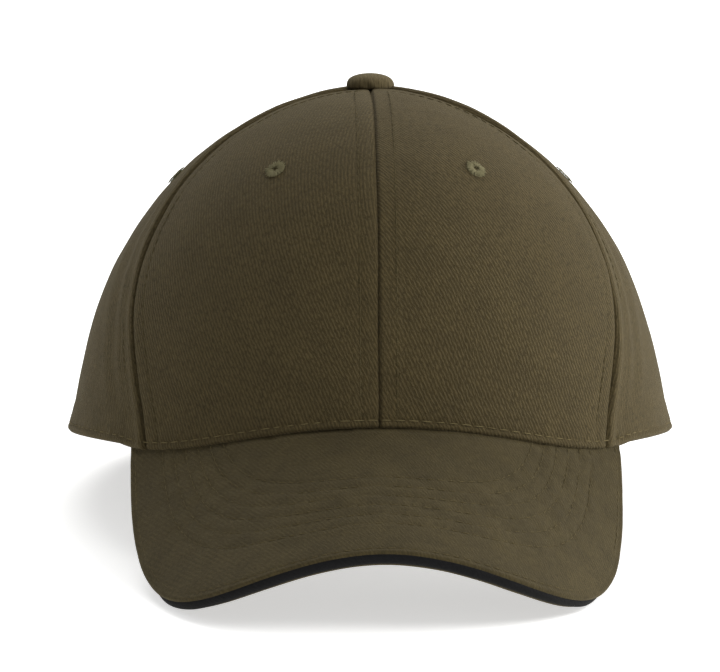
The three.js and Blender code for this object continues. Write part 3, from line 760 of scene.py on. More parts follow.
black_twill = brushed_twill(
    "black cotton twill, bias strip", 0.12, "#060607", "#0D0D0E", "#161617", 0.05, 0.04
)
edge_columns = crowd_corners(np.linspace(0, 1, 300))
at = edge_columns
within = np.clip(at, -0.999, 0.999)
ahead = unit(front_edge(within + 0.001) - front_edge(within - 0.001))
outward = np.stack([ahead[:, 1], -ahead[:, 0]], -1)
proud = 0.75 - 0.35 * smooth(at, 0.1, 0.6) - 1.2 * smooth(np.abs(at), 0.52, 0.75)
proud = proud + 0.10 * ripple(np.stack([at * 120, 0 * at, 0 * at], -1), 14, 9)
trim_top, trim_foot, trim_root = cover_cloth * 0.9, under_cover_depth + 0.02, 2.2
sweep = np.linspace(-np.pi / 2, np.pi / 2, 19)
out = np.concatenate([[-trim_root], np.cos(sweep) * 0.9 - 0.9, [-trim_root]])
rolled_edge = (trim_top + trim_foot) / 2 + (trim_foot - trim_top) / 2 * np.sin(sweep)
down = np.concatenate([[trim_top], rolled_edge, [trim_foot]])
# At each end the strip turns the corner and is folded across the end of the board.
fold_reach = 2.6
edge = front_edge(at)
for end, onward in ((0, -ahead[0]), (-1, ahead[-1])):
    corner, aside = edge[end], outward[end]
    folded = [corner + fold_reach * onward - inward * aside for inward in (0, 1.2, 5)]
    facing = [(aside + onward) / math.sqrt(2), onward, onward]
    order = -1 if end == 0 else 1
    spots = (0, 0, 0) if end == 0 else (len(edge),) * 3
    edge = np.insert(edge, spots, folded[::order], axis=0)
    outward = np.insert(outward, spots, facing[::order], axis=0)
proud = np.pad(proud, 3, mode="edge")
proud[:3] = proud[-3:] = 0
reach = out + np.where(out > -trim_root, proud[:, None], 0)
plan = edge[:, None] + outward[:, None] * reach[..., None]
rings = visor_place(plan, down)
lengths = outline_lengths(rings)
trim = swept("visor_sandwich_trim_cloth", rings, turned_weave(lengths, 45), black_twill)
stand_for(trim, "visor_sandwich_trim")

# ---- Stitching ----
# Rows of lockstitch in spun polyester thread a shade paler than the cloth. Each stitch is a short
# thread that dips into the cloth at both ends, so it is drawn as a slim spindle along its row.


def geometry_tree(name, inputs):
    """A new Geometry Nodes tree that lays threads, and its inputs."""
    tree = bpy.data.node_groups.new(name, "GeometryNodeTree")
    for title, kind in (
        ("Rows", "Geometry"), *inputs, ("Length", "Float"), ("Thickness", "Float"),
        ("Seed", "Int"), ("Thread", "Material"),
    ):
        tree.interface.new_socket(name=title, in_out="INPUT", socket_type="NodeSocket" + kind)
    tree.interface.new_socket(name="Mesh", in_out="OUTPUT", socket_type="NodeSocketGeometry")
    return tree, node(tree, "NodeGroupInput").outputs


def lay_threads(tree, given, points, heading, rings, loose, pull):
    """Lays a spindle of thread on each point along its heading, turned at random by up to loose
    and scaled at random between the two values of pull."""
    spindle = node(tree, "GeometryNodeMeshUVSphere", {"Segments": 6, "Rings": rings, "Radius": 0.5})
    slim = node(tree, "ShaderNodeCombineXYZ", {
        "X": given["Length"], "Y": given["Thickness"], "Z": given["Thickness"],
    })
    thread = node(tree, "GeometryNodeTransform", {
        "Geometry": spindle.outputs["Mesh"], "Scale": slim.outputs["Vector"],
    })
    along = node(tree, "FunctionNodeAlignRotationToVector", {"Vector": heading}, axis="X")
    uneven = node(tree, "FunctionNodeRandomValue", {
        0: [-turn for turn in loose], 1: loose, "Seed": given["Seed"],
    }, data_type="FLOAT_VECTOR")
    tilt = node(tree, "FunctionNodeEulerToRotation", {"Euler": uneven.outputs["Value"]})
    tilted = node(tree, "FunctionNodeRotateRotation", {
        "Rotation": along.outputs["Rotation"], "Rotate By": tilt.outputs["Rotation"],
    }, rotation_space="LOCAL")
    tension = node(tree, "FunctionNodeRandomValue", {
        2: pull[0], 3: pull[1], "Seed": given["Seed"],
    }, data_type="FLOAT")
    laid = node(tree, "GeometryNodeInstanceOnPoints", {
        "Points": points, "Instance": thread.outputs["Geometry"],
        "Rotation": tilted.outputs["Rotation"], "Scale": tension.outputs[1],
    })
    made = node(tree, "GeometryNodeRealizeInstances", {"Geometry": laid.outputs["Instances"]})
    made = node(tree, "GeometryNodeSetShadeSmooth", {"Geometry": made.outputs["Geometry"]})
    made = node(tree, "GeometryNodeSetMaterial", {
        "Geometry": made.outputs["Geometry"], "Material": given["Thread"],
    })
    node(tree, "NodeGroupOutput", {"Mesh": made.outputs["Geometry"]})


stitching, given = geometry_tree("rows of stitches", [("Pitch", "Float")])
row = node(stitching, "GeometryNodeMeshToCurve", {"Mesh": given["Rows"]})
needle = node(stitching, "GeometryNodeResampleCurve", {
    "Curve": row.outputs["Curve"], "Length": given["Pitch"],
}, mode="LENGTH")
heading = node(stitching, "GeometryNodeInputTangent").outputs["Tangent"]
lay_threads(
    stitching, given, needle.outputs["Curve"], heading, 6, (0.07, 0.05, 0.09), (0.86, 1.08)
)


def made_by(tree, name, mesh, material, **values):
    """A plain mesh piece from a mesh put through a Geometry Nodes tree."""
    host = bpy.data.objects.new(name + "_path", mesh)
    scene.collection.objects.link(host)
    modifier = host.modifiers.new("made", "NODES")
    modifier.node_group = tree
    for item in tree.interface.items_tree:
        if item.in_out == "INPUT" and item.name in values:
            modifier[item.identifier] = values[item.name]
    ready = host.evaluated_get(bpy.context.evaluated_depsgraph_get())
    result = bpy.data.meshes.new_from_object(ready)
    bpy.data.objects.remove(host)
    return add_piece(name, result, material)


def sew(name, rows, thread, body="cap", pitch=3.0, length=2.5, thickness=0.34, seed=1):
    """Rows of stitches along lines of points in the crown's frame."""
    points, edges = [], []
    for line in rows:
        start = len(points)
        points += standing(line).tolist()
        edges += [(i, i + 1) for i in range(start, len(points) - 1)]
    mesh = bpy.data.meshes.new(name + "_path")
    mesh.from_pydata(points, edges, [])
    piece = made_by(
        stitching, name, mesh, thread, Pitch=pitch / 1000, Length=length / 1000,
        Thickness=thickness / 1000, Seed=seed, Thread=thread,
    )
    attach(piece, body)
    return piece


def spun_thread(name, colour, pale):
    """Spun polyester sewing thread: matt and slightly hairy. Its dye varies over a few stitches,
    and the ply shows every 0.4 mm."""
    material, tree, shader = new_material(name)
    place = node(tree, "ShaderNodeTexCoord").outputs["Object"]
    ply = wave(tree, place, 0.0004, "DIAGONAL", Distortion=1.0)
    feed(tree, shader, {
        "Base Color": blend(tree, noise(tree, place, 160.0, 2), linear(colour), linear(pale)),
        "Normal": embossed(tree, ply, 0.6, 0.00006), "Roughness": 0.85,
        "Specular IOR Level": 0.12,
    })
    return material


visor_thread = spun_thread("spun polyester thread, pale olive", "#4F452C", "#655A3E")
olive_thread = spun_thread("spun polyester thread, olive", "#463E27", "#564D34")
tan_thread = spun_thread("spun polyester thread, tan", "#5A4F33", "#726748")


def beside_seam(seam, off, low, high, count=160):
    """A line on the crown that far from a seam, sunk to the level of its stitches."""
    climb = np.linspace(low, high, count)
    azimuth = seam(climb) + off / seam_scale(seam, climb)
    return crown_surface(azimuth, climb, -0.15)


arch_top_climb = float(climb_to(180, arch_spring + arch_half_width + binding_width + 1.0))
seam_rows = []
for side in (-1, 1):
    off = side * topstitch_off_seam
    seam_rows.append(beside_seam(front_centre_seam, off, 0.012, 0.955))
    seam_rows.append(beside_seam(rear_centre_seam, off, arch_top_climb, 0.955, 90))
    for seam in (front_side_seam, side_rear_seam):
        line = beside_seam(seam, off, 0.012, 0.955)
        seam_rows += [line, mirrored(line)]
sew("crown_seam_topstitching", seam_rows, olive_thread, pitch=stitch_pitch, seed=3)

hem_azimuth = np.linspace(-155.5, 155.5, 900)
hem_up = climb_to(hem_azimuth, rim_height(hem_azimuth) + hem_stitch_up)
sew(
    "hem_topstitching", [crown_surface(hem_azimuth, hem_up, -0.16)], tan_thread,
    pitch=4.0, length=3.2, thickness=0.36, seed=4,
)

visor_rows, under_rows = [], []
for row in range(row_count):
    line = front_edge(np.linspace(-1, 1, 700), first_row - row * row_step)
    line = line[rim_share(line) > 1.004]
    visor_rows.append(visor_place(line, 0.04))
    under_rows.append(visor_place(line, under - 0.14))
at = np.linspace(-1, 1, 700)
nearest = np.clip(np.searchsorted(edge_columns, at), 0, len(edge_columns) - 1)
inset = front_edge(at) - outward[nearest] * edge_stitch_in
visor_rows.append(visor_place(inset, 0.03))
under_rows.append(visor_place(inset, under - 0.12))
sew(
    "visor_stitching_top", visor_rows, visor_thread, 
    pitch=3.1, length=2.5, thickness=0.22, seed=5,
)
sew(
    "visor_stitching_under", under_rows, visor_thread, 
    pitch=3.1, length=2.6, thickness=0.30, seed=6,
)

# ---- Eyelets ----
# Buttonhole-sewn vent holes, one to a panel: threads wound close together from a small hole
# outwards, over a ring of filling thread.

eyelet_reach, eyelet_bore = 3.3, 0.9
eyelet_azimuths, eyelet_climb = (27.3, 87, 150), 0.54
eyelet_thread = spun_thread("embroidery thread, pale olive", "#5E593F", "#7E785B")

winding, given = geometry_tree("threads wound round a hole", [
    ("Threads", "Int"), ("Middle", "Float"),
])
ring = node(winding, "GeometryNodeMeshCircle", {
    "Vertices": given["Threads"], "Radius": given["Middle"],
})
outwards = node(winding, "GeometryNodeInputPosition").outputs["Position"]
lay_threads(winding, given, ring.outputs["Mesh"], outwards, 8, (0.12, 0.14, 0.26), (0.80, 1.28))


def filling_ring():
    """The padded ring under the wound threads, and the hole's wall, drawn flat on Z."""
    profile = [
        (0.95, -2.2), (0.8, -0.1), (0.95, 0.12), (1.6, 0.30), (2.4, 0.24), (3.0, 0.02),
        (3.05, -0.5), (1.5, -2.2),
    ]
    turns = np.linspace(0, 2 * np.pi, 33)[:-1]
    return np.array([[(r * np.cos(t), r * np.sin(t), z) for r, z in profile] for t in turns])


seed = 50
for side_name, sign in (("left", 1), ("right", -1)):
    for kind, azimuth in zip(("front", "side", "rear"), eyelet_azimuths):
        seed += 1
        empty = bpy.data.meshes.new("eyelet_path")
        threads = made_by(
            winding, f"eyelet_{kind}_{side_name}_threads", empty, eyelet_thread, Threads=38,
            Middle=(eyelet_reach + eyelet_bore) / 2, Length=eyelet_reach - eyelet_bore + 0.3,
            Thickness=0.36, Seed=seed, Thread=eyelet_thread,
        )
        centre = crown_surface(sign * azimuth, eyelet_climb)
        square = crown_normal(np.array(float(sign * azimuth)), np.array(eyelet_climb))
        level = np.cross((0, 0, 1), square)
        level /= np.linalg.norm(level)
        turn = np.array([level, np.cross(square, level), square])
        for vertex in threads.data.vertices:
            x, y, z = vertex.co
            # The outer ends of the threads go down into the cloth, over the filling ring.
            reach = math.hypot(x, y)
            lift = 0.44 + 0.20 * math.exp(-((reach - 1.9) / 0.9) ** 2)
            vertex.co = Vector(standing(centre + np.array([x, y, z * 0.8 + lift]) @ turn))
        rings = filling_ring()
        count, around = rings.shape[:2]
        build = bmesh.new()
        build.from_mesh(threads.data)
        corners = [
            [build.verts.new(standing(centre + point @ turn)) for point in one] for one in rings
        ]
        for i in range(count):
            for j in range(around):
                build.faces.new((
                    corners[i][j], corners[i][(j + 1) % around],
                    corners[(i + 1) % count][(j + 1) % around], corners[(i + 1) % count][j],
                ))
        closed_into(threads.data, build)
        threads.data.shade_smooth()
        stand_for(threads, f"eyelet_{kind}_{side_name}")

# ---- Top button ----
# A zinc shell covered in the cap's twill, which is gathered under its rim and so puckers at the
# sides. Its post goes through the crown and is clinched over a washer inside.

button_radius, button_height = 7.3, 4.7
button_seat = crown_height + 0.3


def turned_piece(name, profile, material, segments=96, relief=None):
    """A closed shape turned about the crown's axis from (radius, height) points that start and
    end on the axis, or come back to where they started."""
    profile = np.array(profile, float)
    turn = np.linspace(0, 2 * np.pi, segments, endpoint=False)
    rings = np.stack([
        profile[None, :, 0] * np.cos(turn)[:, None], profile[None, :, 0] * np.sin(turn)[:, None],
        profile[None, :, 1] + 0 * turn[:, None],
    ], -1)
    if relief is not None:
        rings = rings + relief(rings)
    build = bmesh.new()
    corners = [[build.verts.new(standing(point)) for point in one] for one in rings]
    around = len(profile)
    weave = build.loops.layers.uv.new("weave")
    for i in range(segments):
        beyond = (i + 1) % segments
        for j in range(around):
            after = (j + 1) % around
            square = ((i, j), (beyond, j), (beyond, after), (i, after))
            face = build.faces.new([corners[a][b] for a, b in square])
            for loop, (a, b) in zip(face.loops, square):
                loop[weave].uv = rings[a, b, :2]
    bmesh.ops.remove_doubles(build, verts=build.verts, dist=2e-6)
    mesh = bpy.data.meshes.new(name)
    closed_into(mesh, build)
    smooth_shaded(mesh, 50)
    return add_piece(name, mesh, material)


def puckered(rings):
    """Folds in the button's cover, deepest under its rim and gone on top."""
    radius = np.hypot(rings[..., 0], rings[..., 1])
    turn = np.arctan2(rings[..., 1], rings[..., 0])
    low = smooth(button_seat + button_height - rings[..., 2], 1.0, button_height - 0.4)
    sway = turn + 0.10 * (rings[..., 2] - button_seat)
    folds = 0.5 * np.sin(9 * sway + 0.6) + 0.35 * np.sin(14 * sway + 2)
    folds = folds + 0.25 * np.sin(5 * sway + 1)
    depth, drop = (share * folds * low * (radius > 2.2) for share in (0.26, 0.12))
    return np.stack([np.cos(turn) * depth, np.sin(turn) * depth, drop], -1)


dome = [
    (
        button_radius * math.sin(angle),
        button_seat + 0.9 + (button_height - 0.9) * math.cos(angle) ** 0.75,
    )
    for angle in np.linspace(0.02, math.pi / 2 - 0.01, 26)
]
rolled_under = [
    (7.28, button_seat + 0.55), (7.0, button_seat + 0.15), (6.5, button_seat - 0.05),
    (5.0, button_seat), (1.9, button_seat),
]
inside = [(1.9, button_seat + 0.6), (6.2, button_seat + 0.7)] + [
    (r * 0.9, button_seat + 0.8 + (z - button_seat - 0.9) * 0.84) for r, z in reversed(dome)
]
# The button's twill is painted paler than the crown's, as a painted highlight on the top of the cap.
button_twill = brushed_twill("brushed cotton twill, button", 0.1, "#38301C", "#5A4F35", "#6C6146")
cover = turned_piece(
    "button_cover_cloth", dome + rolled_under + inside, button_twill, relief=puckered
)
stand_for(cover, "button_cover")


def nickel_plate(name, wear):
    """Antique nickel on die-cast zinc: grey, brushed through on the high spots, dulled where the
    plating has been darkened and rubbed back."""
    material, tree, shader = new_material(name)
    place = node(tree, "ShaderNodeTexCoord").outputs["Object"]
    # Rub marks a few tenths of a millimetre wide and several long; tarnish in patches of 4 mm.
    drawn = node(tree, "ShaderNodeMapping", {"Vector": place, "Scale": (3000, 500, 3000)})
    rubs = noise(tree, drawn.outputs["Vector"], 1.0, 3)
    tarnish = remap(tree, noise(tree, place, 250.0, 4), 0.1, 0.9)
    feed(tree, shader, {
        "Base Color": blend(tree, tarnish, linear("#9E9B93"), linear("#B5B2A9")),
        "Roughness": remap(tree, rubs, 0.3, 0.7, 0.26, 0.26 + wear),
        "Normal": embossed(tree, rubs, 0.35, 0.00004), "Metallic": 1.0,
    })
    return material


plated_zinc = nickel_plate("antique nickel on zinc", 0.18)


def finish_node(name, material):
    """Gives a CAD node that is shown as it is its own finish."""
    kept = frame["nodes"][name]
    if kept.material_slots:
        kept.material_slots[0].link = "OBJECT"
        kept.material_slots[0].material = material
    else:
        kept.data.materials.append(material)


finish_node("button_shell", plated_zinc)
washer_top = crown_height - 2.4 - 0.3 - 0.3
washer = turned_piece("button_washer_plate", [
    (1.9, washer_top - 0.1), (2.2, washer_top), (5.6, washer_top), (5.95, washer_top - 0.2),
    (5.95, washer_top - 0.6), (5.6, washer_top - 0.8), (2.2, washer_top - 0.8),
    (1.9, washer_top - 0.7),
], plated_zinc)
stand_for(washer, "button_washer")

# ---- Buckram ----
# Open-weave cotton stiffened with size, fused inside the two front panels to make them stand.

buckram_depth, buckram_ply, buckram_inset = panel_cloth + ply_gap, 0.6, 1.2
lining_lift, lining_top = 1.4, 0.9


def woven(name, dark, pale, spacing, depth, roughness=0.9, gloss=0.3):
    """A plain weave: threads over and under each other in two directions."""
    material, tree, shader = new_material(name)
    weave = node(tree, "ShaderNodeUVMap", uv_map="weave").outputs["UV"]
    warp, weft = (wave(tree, weave, spacing, way, Distortion=0.5, Detail=1) for way in "XY")
    crossed = arithmetic(tree, "MAXIMUM", warp, weft)
    tone = arithmetic(tree, "MULTIPLY", crossed, noise(tree, weave, 0.6, 4))
    feed(tree, shader, {
        "Base Color": blend(tree, remap(tree, tone, 0.1, 0.6), linear(dark), linear(pale)),
        "Normal": embossed(tree, crossed, 0.8, depth), "Roughness": roughness,
        "Specular IOR Level": gloss,
    })
    return material


# Buckram's threads are about 1.2 mm apart.
sized_cotton = woven("buckram, sized cotton", "#8F897A", "#D8D4C8", 1.2, 0.0002)


def lining_grid(columns, rows, azimuth_at, low, high, depth):
    """A grid on a layer of the crown; azimuth_at gives columns from 0 to 1 at each climb."""
    share, up = np.meshgrid(np.linspace(0, 1, columns), np.linspace(0, 1, rows) ** 1.25)
    foot = azimuth_at(0, share[0])
    start = climb_to(foot, rim_height(foot, depth) + low, depth)
    climb = start + (high - start) * up
    azimuth = azimuth_at(climb, share)
    return azimuth, climb, crown_surface(azimuth, climb, depth)


for side_name, sign in (("left", 1), ("right", -1)):
    def between(climb, share):
        level = np.asarray(climb, float) + 0 * share
        near = buckram_inset / seam_scale(front_centre_seam, level)
        far = front_side_seam(climb) - buckram_inset / seam_scale(front_side_seam, level)
        return near + (far - near) * share
    azimuth, climb, outer = lining_grid(70, 90, between, lining_lift, lining_top, buckram_depth)
    inner = crown_surface(azimuth, climb, buckram_depth + buckram_ply)
    if sign < 0:
        outer, inner = other_side(outer, inner)
    lengths = grid_lengths(outer)
    stiffener = cloth_slab(f"buckram_{side_name}_cloth", outer, inner, lengths, sized_cotton)
    stand_for(stiffener, f"buckram_{side_name}")

# ---- Seam tapes ----
# Cotton bias tape, 14 mm wide with both edges turned under, sewn flat over each seam inside.

tape_width, tape_ply, tape_stitch_off = 14, 0.5, 5.6
front_tape_depth = buckram_depth + buckram_ply + ply_gap
rear_tape_depth = panel_cloth + ply_gap
bias_tape = woven("cotton bias tape, olive", "#2B2519", "#4A4231", 0.7, 0.0001)
tape_rows = []
above_arch = arch_spring + arch_half_width + binding_width + 0.3
for name, seam, sign, depth, bottom, *covered in (
    ("front_centre", front_centre_seam, 1, front_tape_depth, None, "buckram_left", "buckram_right"),
    ("front_left", front_side_seam, 1, front_tape_depth, None, "buckram_left", "side_panel_left"),
    ("front_right", front_side_seam, -1, front_tape_depth, None, "buckram_right", "side_panel_right"),
    ("rear_left", side_rear_seam, 1, rear_tape_depth, None, "side_panel_left", "rear_panel_left"),
    ("rear_right", side_rear_seam, -1, rear_tape_depth, None, "side_panel_right", "rear_panel_right"),
    (
        "rear_centre", rear_centre_seam, 1, rear_tape_depth, above_arch,
        "rear_panel_left", "rear_panel_right",
    ),
):
    if bottom is None:
        bottom = rim_height(seam(0.0), depth) + lining_lift
    low = climb_to(seam(0.0), bottom, depth)
    share, up = np.meshgrid(np.linspace(-0.5, 0.5, 41), np.linspace(0, 1, 110))
    climb = low + (lining_top - low) * up ** 1.15
    off = share * tape_width
    azimuth = seam(climb) + off / seam_scale(seam, climb)
    swell = 0.10 * smooth(np.abs(off), 3.2, 4.2) - 0.35 * smooth(np.abs(off), 6.5, 7.0)
    swell = swell - 0.16 * bump(np.abs(off), tape_stitch_off, 0.4)
    swell = swell + 0.08 * ripple(crown_surface(azimuth, climb), 12, 31)
    outer = crown_surface(azimuth, climb, depth)
    inner = crown_surface(azimuth, climb, depth + tape_ply + np.clip(swell, -0.4, 0.25))
    if sign < 0:
        outer, inner = other_side(outer, inner)
    lengths = grid_lengths(outer)
    tape = cloth_slab(f"seam_tape_{name}_cloth", outer, inner, turned_weave(lengths, 45), bias_tape)
    stand_for(tape, f"seam_tape_{name}")
    for edge in (-tape_stitch_off, tape_stitch_off):
        run = np.linspace(low + 0.003, 0.893, 160)
        beside = seam(run) + edge / seam_scale(seam, run)
        line = crown_surface(beside, run, depth + tape_ply)
        tape_rows.append(line if sign > 0 else mirrored(line))
sew("seam_tape_stitching", tape_rows, olive_thread, seed=7)

# ---- Sweatband ----
# A cotton twill band round the inside, folded double along its upper edge, with a needled pad
# behind it across the forehead. It passes behind the strap's ends at the back.

strap_height, strap_width, strap_ply = 6, 18, 1.2
buckle_along, opening_half_angle = 10, math.degrees(math.asin(arch_half_width / back_reach))


def along_back(length):
    """Degrees round the crown for a length at its back."""
    return math.degrees(length / back_reach)


# The buckle stands beside the opening, measured at the height of the strap's upper edge.
strap_above_spring = strap_height + strap_width / 2 - arch_spring
opening_at_strap = math.sqrt(arch_half_width ** 2 - strap_above_spring ** 2) - 2.7
buckle_azimuth = 180 - math.degrees(math.asin(opening_at_strap / back_reach)) + along_back(buckle_along)
strap_tail, strap_root = buckle_azimuth - along_back(32), 180 + opening_half_angle + along_back(25)
strap_points = np.array([vertex.co for vertex in frame["nodes"]["strap"].data.vertices])
strap_local = (strap_points - crown_foot) @ crown_axes.T * 1000
strap_radius = float(np.hypot(strap_local[:, 0], strap_local[:, 1]).max())
band_height, band_ply, band_lift = 32, 0.8, 1.2
pad_depth, pad_ply = front_tape_depth + tape_ply + ply_gap, 1.0
band_front_depth = pad_depth + pad_ply + ply_gap
pocket_radius = strap_radius - strap_ply - 0.8
pocket_azimuth = min(strap_tail, 360 - strap_root) - 8 - 4
band_end = 180 - opening_half_angle - along_back(3.5)


def band_depth(azimuth):
    rim = crown_surface(azimuth, 0 * azimuth)
    pocket = np.hypot(rim[..., 0], rim[..., 1]) - pocket_radius
    back = smooth(np.abs(azimuth), 85, pocket_azimuth)
    return band_front_depth * (1 - back) + pocket * back


def band_grid(half_span, columns, rows, depth_at, inset, height):
    azimuth, up = np.meshgrid(np.linspace(-half_span, half_span, columns), np.linspace(0, 1, rows))
    depth = depth_at(azimuth)
    low = rim_height(azimuth, depth) + band_lift + inset
    climb = climb_to(azimuth, low + (height - 2 * inset) * up, depth)
    return azimuth, up * height, climb, depth


band_twill = brushed_twill("cotton twill, sweatband", 0.25, "#2C2619", "#4A4230", "#5C533F")
azimuth, up, climb, depth = band_grid(band_end, 420, 44, band_depth, 0, band_height)
outer = crown_surface(azimuth, climb, depth)
slack = 0.35 * ripple(outer, 22, 61) * smooth(up, 2, 12) * (1 - smooth(up, 24, 31))
upper_stitch, lower_stitch = band_height - 5.8, 2.6
folded = 0.25 * smooth(up, band_height - 7, band_height - 6) - 0.25 * bump(up, upper_stitch, 0.5)
folded = folded - 0.3 * bump(up, band_height, 0.7) - 0.22 * bump(up, lower_stitch, 0.5)
inner = crown_surface(azimuth, climb, depth + band_ply + folded + np.maximum(slack, -0.3))
lengths = grid_lengths(outer)
band = cloth_slab("sweatband_cloth", outer, inner, turned_weave(lengths, 60), band_twill)
stand_for(band, "sweatband")
band_rows = []
for height in (lower_stitch, upper_stitch):
    azimuth = np.linspace(-band_end + 1, band_end - 1, 500)
    depth = band_depth(azimuth) + band_ply
    climb = climb_to(azimuth, rim_height(azimuth, depth) + band_lift + height, depth)
    band_rows.append(crown_surface(azimuth, climb, depth - 0.05))
sew("sweatband_stitching", band_rows, tan_thread, seed=8)

# Needled polyester felt, off-white, a millimetre thick when sewn down.
felt = woven("needled polyester felt", "#B4AF9F", "#D5D1C5", 0.9, 0.0002)
azimuth, up, climb, depth = band_grid(80, 200, 40, lambda a: 0 * a + pad_depth, 3, band_height)
edge = np.minimum(np.minimum(up, band_height - up), (80 - np.abs(azimuth)) * 1.6)
thin = 0.35 * (1 - smooth(edge, 0, 2.5))
outer = crown_surface(azimuth, climb, depth + thin)
inner = crown_surface(azimuth, climb, depth + pad_ply - thin + 0.1 * ripple(outer, 14, 62))
pad = cloth_slab("sweatband_pad", outer, inner, grid_lengths(outer), felt)
stand_for(pad, "sweatband_padding")

# ---- Care label ----
# A blank woven satin label, sewn to the sweatband at both ends.

label_azimuth, label_width, label_height, label_ply = -128, 22, 12, 0.4
satin = woven("woven satin tape", "#C9C4B4", "#E9E6DD", 0.5, 0.00006, 0.55, 0.5)
span = math.degrees(label_width / half_width)
azimuth, up = np.meshgrid(
    label_azimuth + np.linspace(-0.5, 0.5, 60) * span, np.linspace(-0.5, 0.5, 30)
)
depth = band_depth(azimuth) + band_ply + 0.3
middle = rim_height(azimuth, depth) + band_lift + band_height / 2
climb = climb_to(azimuth, middle + label_height * up, depth)
bow = 0.35 * np.cos(np.pi * (azimuth - label_azimuth) / span) * (1 + 0.4 * up)
outer = crown_surface(azimuth, climb, depth + bow - 0.1)
inner = crown_surface(azimuth, climb, depth + bow + label_ply)
lengths = grid_lengths(outer)
label = cloth_slab("care_label_tape", outer, inner, lengths, satin)
stand_for(label, "care_label")
label_rows = []
for end in (-0.45, 0.45):
    azimuth = label_azimuth + end * span + np.zeros(30)
    depth = band_depth(azimuth) + band_ply + 0.3 + label_ply
    middle = rim_height(azimuth, depth) + band_lift + band_height / 2
    climb = climb_to(azimuth, middle + label_height * np.linspace(-0.44, 0.44, 30), depth)
    label_rows.append(crown_surface(azimuth, climb, depth))
sew(
    "care_label_stitching", label_rows, olive_thread, 
    pitch=2.0, length=1.6, thickness=0.25, seed=9,
)

# ---- Rear opening's binding ----
# Thin cotton bias tape in the cap's colour, 10 mm wide, its raw edges turned under, folded over
# the edge of the arch and sewn through.

azimuth, climb = arch_outline(0.0, 150)
azimuth = np.concatenate([azimuth, 360 - azimuth[-2::-1]])
climb = np.concatenate([climb, climb[-2::-1]])
edge_line = crown_surface(azimuth, climb)
apart = np.concatenate([[True], np.linalg.norm(np.diff(edge_line, axis=0), axis=-1) > 0.2])
azimuth, climb, edge_line = azimuth[apart], climb[apart], edge_line[apart]
square = crown_normal(azimuth, np.maximum(climb, 0.004))
ahead = unit(np.gradient(edge_line, axis=0))
away = np.cross(square, ahead)
away *= np.sign((away * (edge_line - (0, back_reach, arch_spring - 20))).sum(-1, keepdims=True))
away = unit(away)
# The tape's middle line in section: in from one turned-under raw edge, over the outside, round the
# panel's edge, and the same again inside. It is 0.2 mm thick.
outside = [(0.7, -0.02), (2.4, -0.02), (2.68, 0.1), (2.4, 0.24), (1.6, 0.26)]
round_edge = [
    (0.4 + 0.4 * math.cos(turn), -0.45 + 0.71 * math.sin(turn))
    for turn in np.linspace(np.pi / 2, 3 * np.pi / 2, 11)
]
tape_line = np.array(outside + round_edge + [(over, -0.9 - thick) for over, thick in outside[::-1]])
runs = unit(np.gradient(tape_line, axis=0))
half_ply = 0.1 * np.stack([-runs[:, 1], runs[:, 0]], -1)
over, thick = np.concatenate([tape_line + half_ply, (tape_line - half_ply)[::-1]]).T
rings = edge_line[:, None] + away[:, None] * over[:, None] + square[:, None] * thick[:, None]
binding_twill = brushed_twill(
    "brushed cotton twill, binding", 0.25, "#2B2517", "#463D2B", "#5E5541"
)
weave = turned_weave(outline_lengths(rings), 45)
binding = swept("rear_opening_binding_cloth", rings, weave, binding_twill)
stand_for(binding, "rear_opening_binding")
sew("binding_stitching", [
    (edge_line + away * 2.0 + square * 0.36)[3:-3], (edge_line + away * 2.0 - square * 1.26)[3:-3],
], tan_thread, pitch=2.8, length=2.3, seed=10)

# ---- Strap ----
# Two plies of twill turned in at the edges and sewn along both, sliding through the buckle.

strap_twill = brushed_twill("brushed cotton twill, strap", 0.3, "#2B2517", "#463D2B", "#5E5541")
turn, up = np.meshgrid(np.linspace(strap_tail, strap_root, 260), np.linspace(-0.5, 0.5, 44))
off = np.abs(up) * strap_width
end = np.minimum(turn - strap_tail, strap_root - turn) * math.pi / 180 * strap_radius
round_off = 0.42 * (1 - np.sqrt(1 - np.clip(1 - (strap_width / 2 - off) / 0.6, 0, 1) ** 2))
round_off = round_off + 0.3 * (1 - smooth(end, 0, 0.8))
dented = 0.16 * bump(off, strap_width / 2 - 1.9, 0.5)
theta = np.radians(turn)


def on_strap(radius):
    height = strap_height + up * strap_width
    return np.stack([radius * np.sin(theta), -radius * np.cos(theta), height], -1)


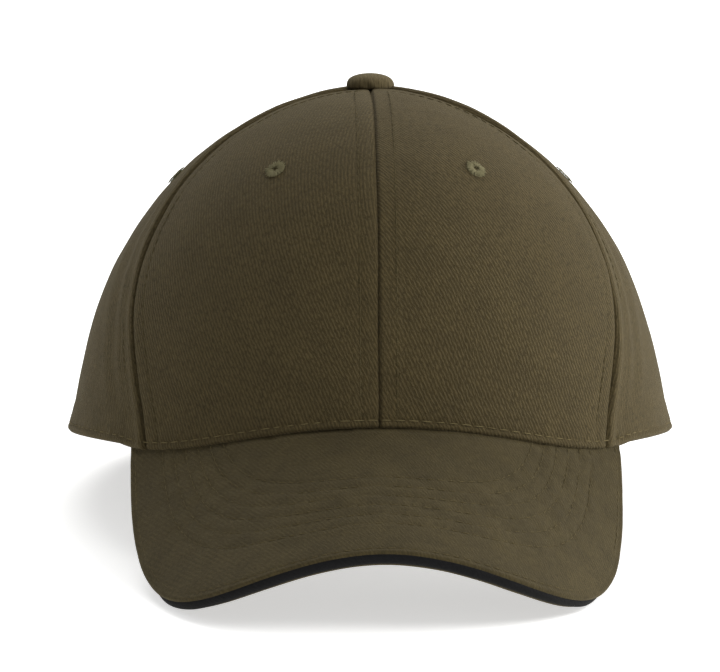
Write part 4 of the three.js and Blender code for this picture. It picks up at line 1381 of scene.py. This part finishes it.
outer = on_strap(strap_radius - round_off - dented)
inner = on_strap(strap_radius - strap_ply + round_off + dented)
lengths = grid_lengths(outer)
strap = cloth_slab("strap_cloth", outer, inner, turned_weave(lengths, 120), strap_twill)
stand_for(strap, "strap", "strap")
strap_rows = []
run = np.radians(np.linspace(strap_tail + 1.2, strap_root - 1.2, 200))
for height in (-1, 1):
    for radius in (strap_radius - 0.02, strap_radius - strap_ply + 0.02):
        strap_rows.append(np.stack([
            radius * np.sin(run), -radius * np.cos(run),
            0 * run + strap_height + height * (strap_width / 2 - 1.9),
        ], -1))
sew(
    "strap_stitching", strap_rows, tan_thread, body="strap",
    pitch=2.8, length=2.3, thickness=0.26, seed=12,
)

# ---- Buckle ----
# A die-cast flip-lever buckle. A cloth tab folded round its bar holds it to the cap; the lever
# turns on a pin and bites the strap against the plate.


def eased_copy(cad_name, name, width, material, body):
    """A copy of a CAD node with its edges rounded, which stands for the node."""
    mesh = frame["nodes"][cad_name].data.copy()
    mesh.name = name
    build = bmesh.new()
    build.from_mesh(mesh)
    bmesh.ops.remove_doubles(build, verts=build.verts, dist=1e-6)
    bmesh.ops.dissolve_limit(
        build, angle_limit=math.radians(2), verts=build.verts, edges=build.edges
    )
    build.to_mesh(mesh)
    build.free()
    piece = add_piece(name, mesh, material)
    bevel = piece.modifiers.new("eased edges", "BEVEL")
    bevel.width = width / 1000
    bevel.segments = 3
    bevel.limit_method = "ANGLE"
    bevel.angle_limit = math.radians(35)
    ready = piece.evaluated_get(bpy.context.evaluated_depsgraph_get())
    eased = bpy.data.meshes.new_from_object(ready)
    piece.modifiers.clear()
    piece.data = eased
    smooth_shaded(eased, 40)
    stand_for(piece, cad_name, body)
    return piece


eased_copy("buckle_frame", "buckle_frame_plated", 0.22, plated_zinc, "cap")
eased_copy("buckle_pin", "buckle_pin_plated", 0.12, plated_zinc, "cap")
eased_copy("buckle_lever", "buckle_lever_plated", 0.22, plated_zinc, "buckle_lever")

# The tab's weave follows the cloth round its fold, so it is drawn in the object's own space.
tab_twill = spun_thread("cotton twill, tab", "#2B2517", "#463D2B")
tab = eased_copy("buckle_tab", "buckle_tab_cloth", 0.2, tab_twill, "cap")

# The board inside the visor is plain moulded polyethylene, grained by its mould.
board, board_tree, board_shader = new_material("moulded polyethylene, grained")
place = node(board_tree, "ShaderNodeTexCoord").outputs["Object"]
feed(board_tree, board_shader, {
    "Base Color": linear("#E2E2DD"), "Roughness": 0.5,
    "Normal": embossed(board_tree, noise(board_tree, place, 1250.0, 2), 0.5, 0.00005),
})
finish_node("visor_board", board)
